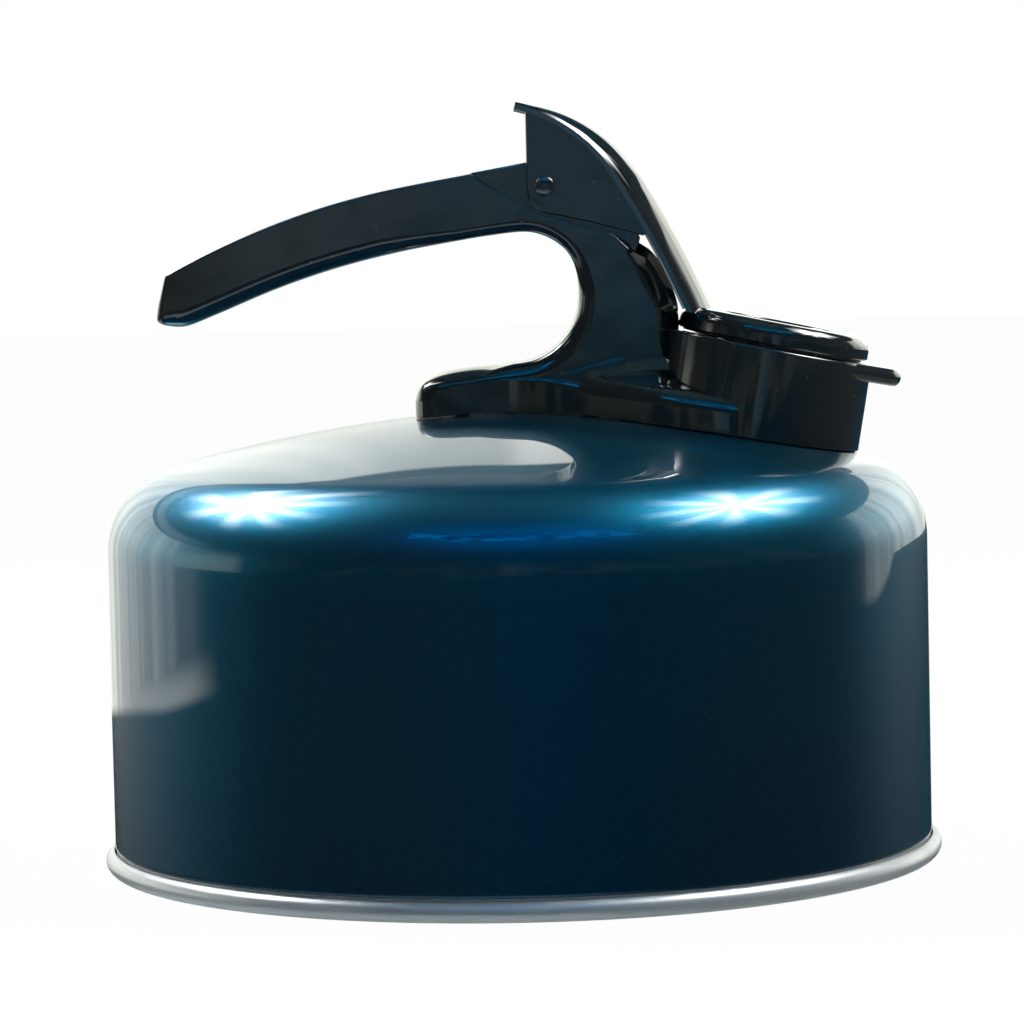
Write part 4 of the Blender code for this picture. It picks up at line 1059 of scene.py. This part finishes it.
def between(nodes, links, value, low, high):
    """0 at low, 1 at high, with a soft start and end."""
    node = nodes.new("ShaderNodeMapRange")
    node.interpolation_type = "SMOOTHSTEP"
    give(node, From_Min=low, From_Max=high)
    links.new(value, node.inputs["Value"])
    return node.outputs["Result"]


def room_light(nodes, links):
    """Colour of the room in each direction: a white sheet behind, its lit foot at the left, a dim front."""
    coords = nodes.new("ShaderNodeTexCoord")
    split = nodes.new("ShaderNodeSeparateXYZ")
    links.new(coords.outputs["Generated"], split.inputs["Vector"])
    x, y, z = (split.outputs[axis] for axis in "XYZ")

    def product(*factors):
        total = factors[0]
        for factor in factors[1:]:
            total = compute(nodes, links, "MULTIPLY", total, factor)
        return total

    def soft(value, low, high):
        return between(nodes, links, value, low, high)

    def add(first, second):
        return compute(nodes, links, "ADD", first, second)

    def subtract(first, second):
        return compute(nodes, links, "SUBTRACT", first, second)

    def larger(first, second):
        return compute(nodes, links, "MAXIMUM", first, second)

    def blend(factor, first, second):
        return mix_colour(nodes, links, factor, first, second)

    facing = subtract(y, product(x, 0.105))
    drop = subtract(0.060, product(soft(x, 0.5, 0.95), 0.042))
    level = subtract(z, product(soft(x, -0.05, 0.12), drop))
    foot_edge = subtract(level, product(soft(facing, 0.6, 0.1), 0.0032))
    above_foot = soft(foot_edge, -0.1190, -0.1150)
    turn = compute(nodes, links, "ARCTAN2", x, y)
    folds = nodes.new("ShaderNodeTexNoise")
    folds.noise_dimensions = "1D"
    give(folds, Scale=9.0)
    links.new(turn, folds.inputs["W"])
    fold = add(product(soft(folds.outputs["Fac"], 0.35, 0.65), 0.45), 0.75)
    right_reach = product(soft(facing, 0.23, 0.32), soft(x, 0.3, 0.5), 0.8)
    reach = larger(soft(facing, 0.10, 0.62), right_reach)
    gain = add(product(soft(z, 0.0, 0.15), add(product(soft(x, 0.1, 0.5), 0.3), 0.35)), 1.12)
    rising = product(compute(nodes, links, "MINIMUM", x, 0.0), 0.24)
    above_sheet = add(subtract(z, rising), product(soft(x, 0.0, 0.15), 0.08))
    sheet = product(reach, above_foot, soft(above_sheet, 0.492, 0.480), fold, gain)
    streak = product(soft(x, -0.90, -0.60), 0.022)
    upper_foot = subtract(above_sheet, streak)
    upper = product(soft(facing, 0.1, 0.5), soft(upper_foot, 0.487, 0.497), soft(above_sheet, 0.58, 0.54),
                    soft(x, 0.1, -0.5), 0.5)
    sheet = larger(sheet, upper)
    fade = subtract(1.9, product(soft(facing, 0.4, 0.9), 0.9))
    foot = product(soft(facing, 0.08, 0.36), above_foot, soft(foot_edge, -0.1030, -0.1150),
                   soft(x, 0.05, -0.1), fade)
    white = larger(sheet, foot)
    fog = larger(soft(x, 0.15, -0.5), soft(x, 0.3, 1.0))
    dim = blend(fog, (0.006, 0.040, 0.065), (0.036, 0.042, 0.042))
    patches = nodes.new("ShaderNodeTexNoise")
    give(patches, Scale=7.0, Detail=1.0)
    links.new(coords.outputs["Generated"], patches.inputs["Vector"])
    patch = soft(patches.outputs["Fac"], 0.42, 0.58)
    wall = blend(patch, (0.02, 0.045, 0.06), (0.09, 0.105, 0.09))
    straight = product(soft(x, -0.075, -0.06), soft(x, 0.085, 0.065), soft(z, -0.045, -0.036))
    navy = blend(patch, (0.05, 0.16, 0.26), (0.17, 0.22, 0.23))
    wall = blend(straight, wall, navy)
    side = product(soft(x, -0.80, -0.95), soft(facing, -0.08, 0.04), soft(z, -0.060, -0.035))
    wall = blend(side, wall, (0.95, 1.0, 0.85))
    across_room = product(soft(z, -0.07, -0.015), soft(z, 0.30, 0.10))
    dim = blend(across_room, dim, wall)
    ground = blend(soft(x, 0.05, 0.6), (0.50, 0.56, 0.58), (0.13, 0.14, 0.12))
    dim = blend(soft(z, -0.25, -0.55), dim, ground)
    front = product(soft(x, -0.50, -0.12), soft(x, 0.50, 0.12), soft(y, -0.2, -0.4),
                    soft(z, 0.45, 0.64), soft(z, 0.95, 0.80))
    dim = blend(front, dim, (0.0, 0.24, 0.50))
    dim = blend(soft(z, 0.90, 0.98), dim, (0.06, 0.13, 0.15))
    tinted = nodes.new("ShaderNodeVectorMath")
    tinted.operation = "SCALE"
    tinted.inputs[0].default_value = (1.0, 1.02, 0.94)
    links.new(white, tinted.inputs["Scale"])
    total = nodes.new("ShaderNodeVectorMath")
    total.operation = "MAXIMUM"
    links.new(dim, total.inputs[0])
    links.new(tinted.outputs["Vector"], total.inputs[1])
    return total.outputs["Vector"]


def studio():
    """White sheet behind, dim room in front, two umbrellas above the shoulders and a window."""
    world = bpy.data.worlds.new("room")
    bpy.context.scene.world = world
    world.use_nodes = True
    nodes, links = world.node_tree.nodes, world.node_tree.links
    rays = nodes.new("ShaderNodeLightPath")
    seen = mix_colour(nodes, links, rays.outputs["Is Camera Ray"], room_light(nodes, links), (1.0, 1.0, 1.0))
    links.new(seen, nodes["Background"].inputs["Color"])
    bm = bmesh.new()
    bmesh.ops.create_grid(bm, x_segments=1, y_segments=1, size=4.0)
    floor = raw_object("studio_floor", bm)
    floor.data.materials.append(floor_material())
    floor.visible_glossy = False
    umbrella("umbrella_left", -121, 47, 1.1, 0.40, 14.0)
    umbrella("umbrella_right", 94, 52, 1.1, 0.40, 13.0)
    window((-30, -21, -12, -3, 6, 15, 24, 33), 44, 2.2, 0.17, 3.0, (0.0, 0.34, 0.9))


def floor_material():
    """A pale floor that keeps a soft shadow and is white to the camera elsewhere."""
    material, nodes, links, shader = new_material("pale floor")
    give(shader, Base_Color=(0.85, 0.85, 0.85, 1.0), Roughness=0.9)
    white = nodes.new("ShaderNodeEmission")
    rays = nodes.new("ShaderNodeLightPath")
    share = compute(nodes, links, "MULTIPLY", rays.outputs["Is Camera Ray"], 0.97)
    mix = nodes.new("ShaderNodeMixShader")
    links.new(share, mix.inputs["Fac"])
    links.new(shader.outputs["BSDF"], mix.inputs[1])
    links.new(white.outputs["Emission"], mix.inputs[2])
    links.new(mix.outputs["Shader"], nodes["Material Output"].inputs["Surface"])
    return material


def build():
    place_camera()
    bpy.context.scene.view_settings.view_transform = "Standard"
    speckle, ripple = speckle_group(), ripple_group()
    lacquer = lacquer_material(speckle, ripple)
    plastic = plastic_material(speckle, ripple)
    aluminium = aluminium_material(ripple)
    steel = plain_metal("bright steel", (0.62, 0.61, 0.59), 0.22, ripple)
    brass = plain_metal("brass", (0.72, 0.50, 0.20), 0.28, ripple)
    silicone = silicone_material(ripple)
    make_body(lacquer, aluminium)
    make_rim_and_base(aluminium)
    slot_half = SPRING_TURNS * SPRING_PITCH / 2 + SPRING_WIRE_RADIUS + 2 * GAP
    slot_floor = -SPRING_COIL_RADIUS - SPRING_WIRE_RADIUS - GAP
    slot_low = (-SPRING_SLOT_BACK, -slot_half, slot_floor)
    slot_high = (SLOT_REACH, slot_half, SLOT_REACH)
    make_arm(plastic, body_under("dome_for_arm", GAP), [block("slot_in_arm", slot_low, slot_high, PIN)])
    hub_cuts = [block("slot_in_hub", slot_low, slot_high, PIN)]
    hub_cuts.append(cylinder("hole_in_hub", PIN_RADIUS + GAP, -CUT_REACH, CUT_REACH, PIN_AXIS, 48))
    make_hub(plastic, hub_cuts)
    bore = cylinder("bore_in_skirt", BORE_RADIUS + 0.002, -SPOUT_DEPTH - CUT_REACH, CUT_REACH, SPOUT)
    make_skirt(plastic, body_under("dome_for_skirt", GAP), bore)
    make_tub(plastic, body_under("dome_for_tub", GAP))
    make_lip(plastic)
    make_lever(plastic, plastic_material(speckle, ripple, coat_ior=2.4))
    make_whistle_cap(steel)
    make_pin(plain_metal("dark steel", (0.24, 0.25, 0.25), 0.24, ripple))
    dress_inner_nodes((("seal", silicone), ("gasket", silicone), ("insert", brass), ("lock_ring", aluminium),
                       ("screw", steel), ("whistle", steel), ("pin", steel), ("spring", steel),
                       ("body_shell", lacquer), ("base_pan", aluminium), ("", plastic)))
    studio()


build()
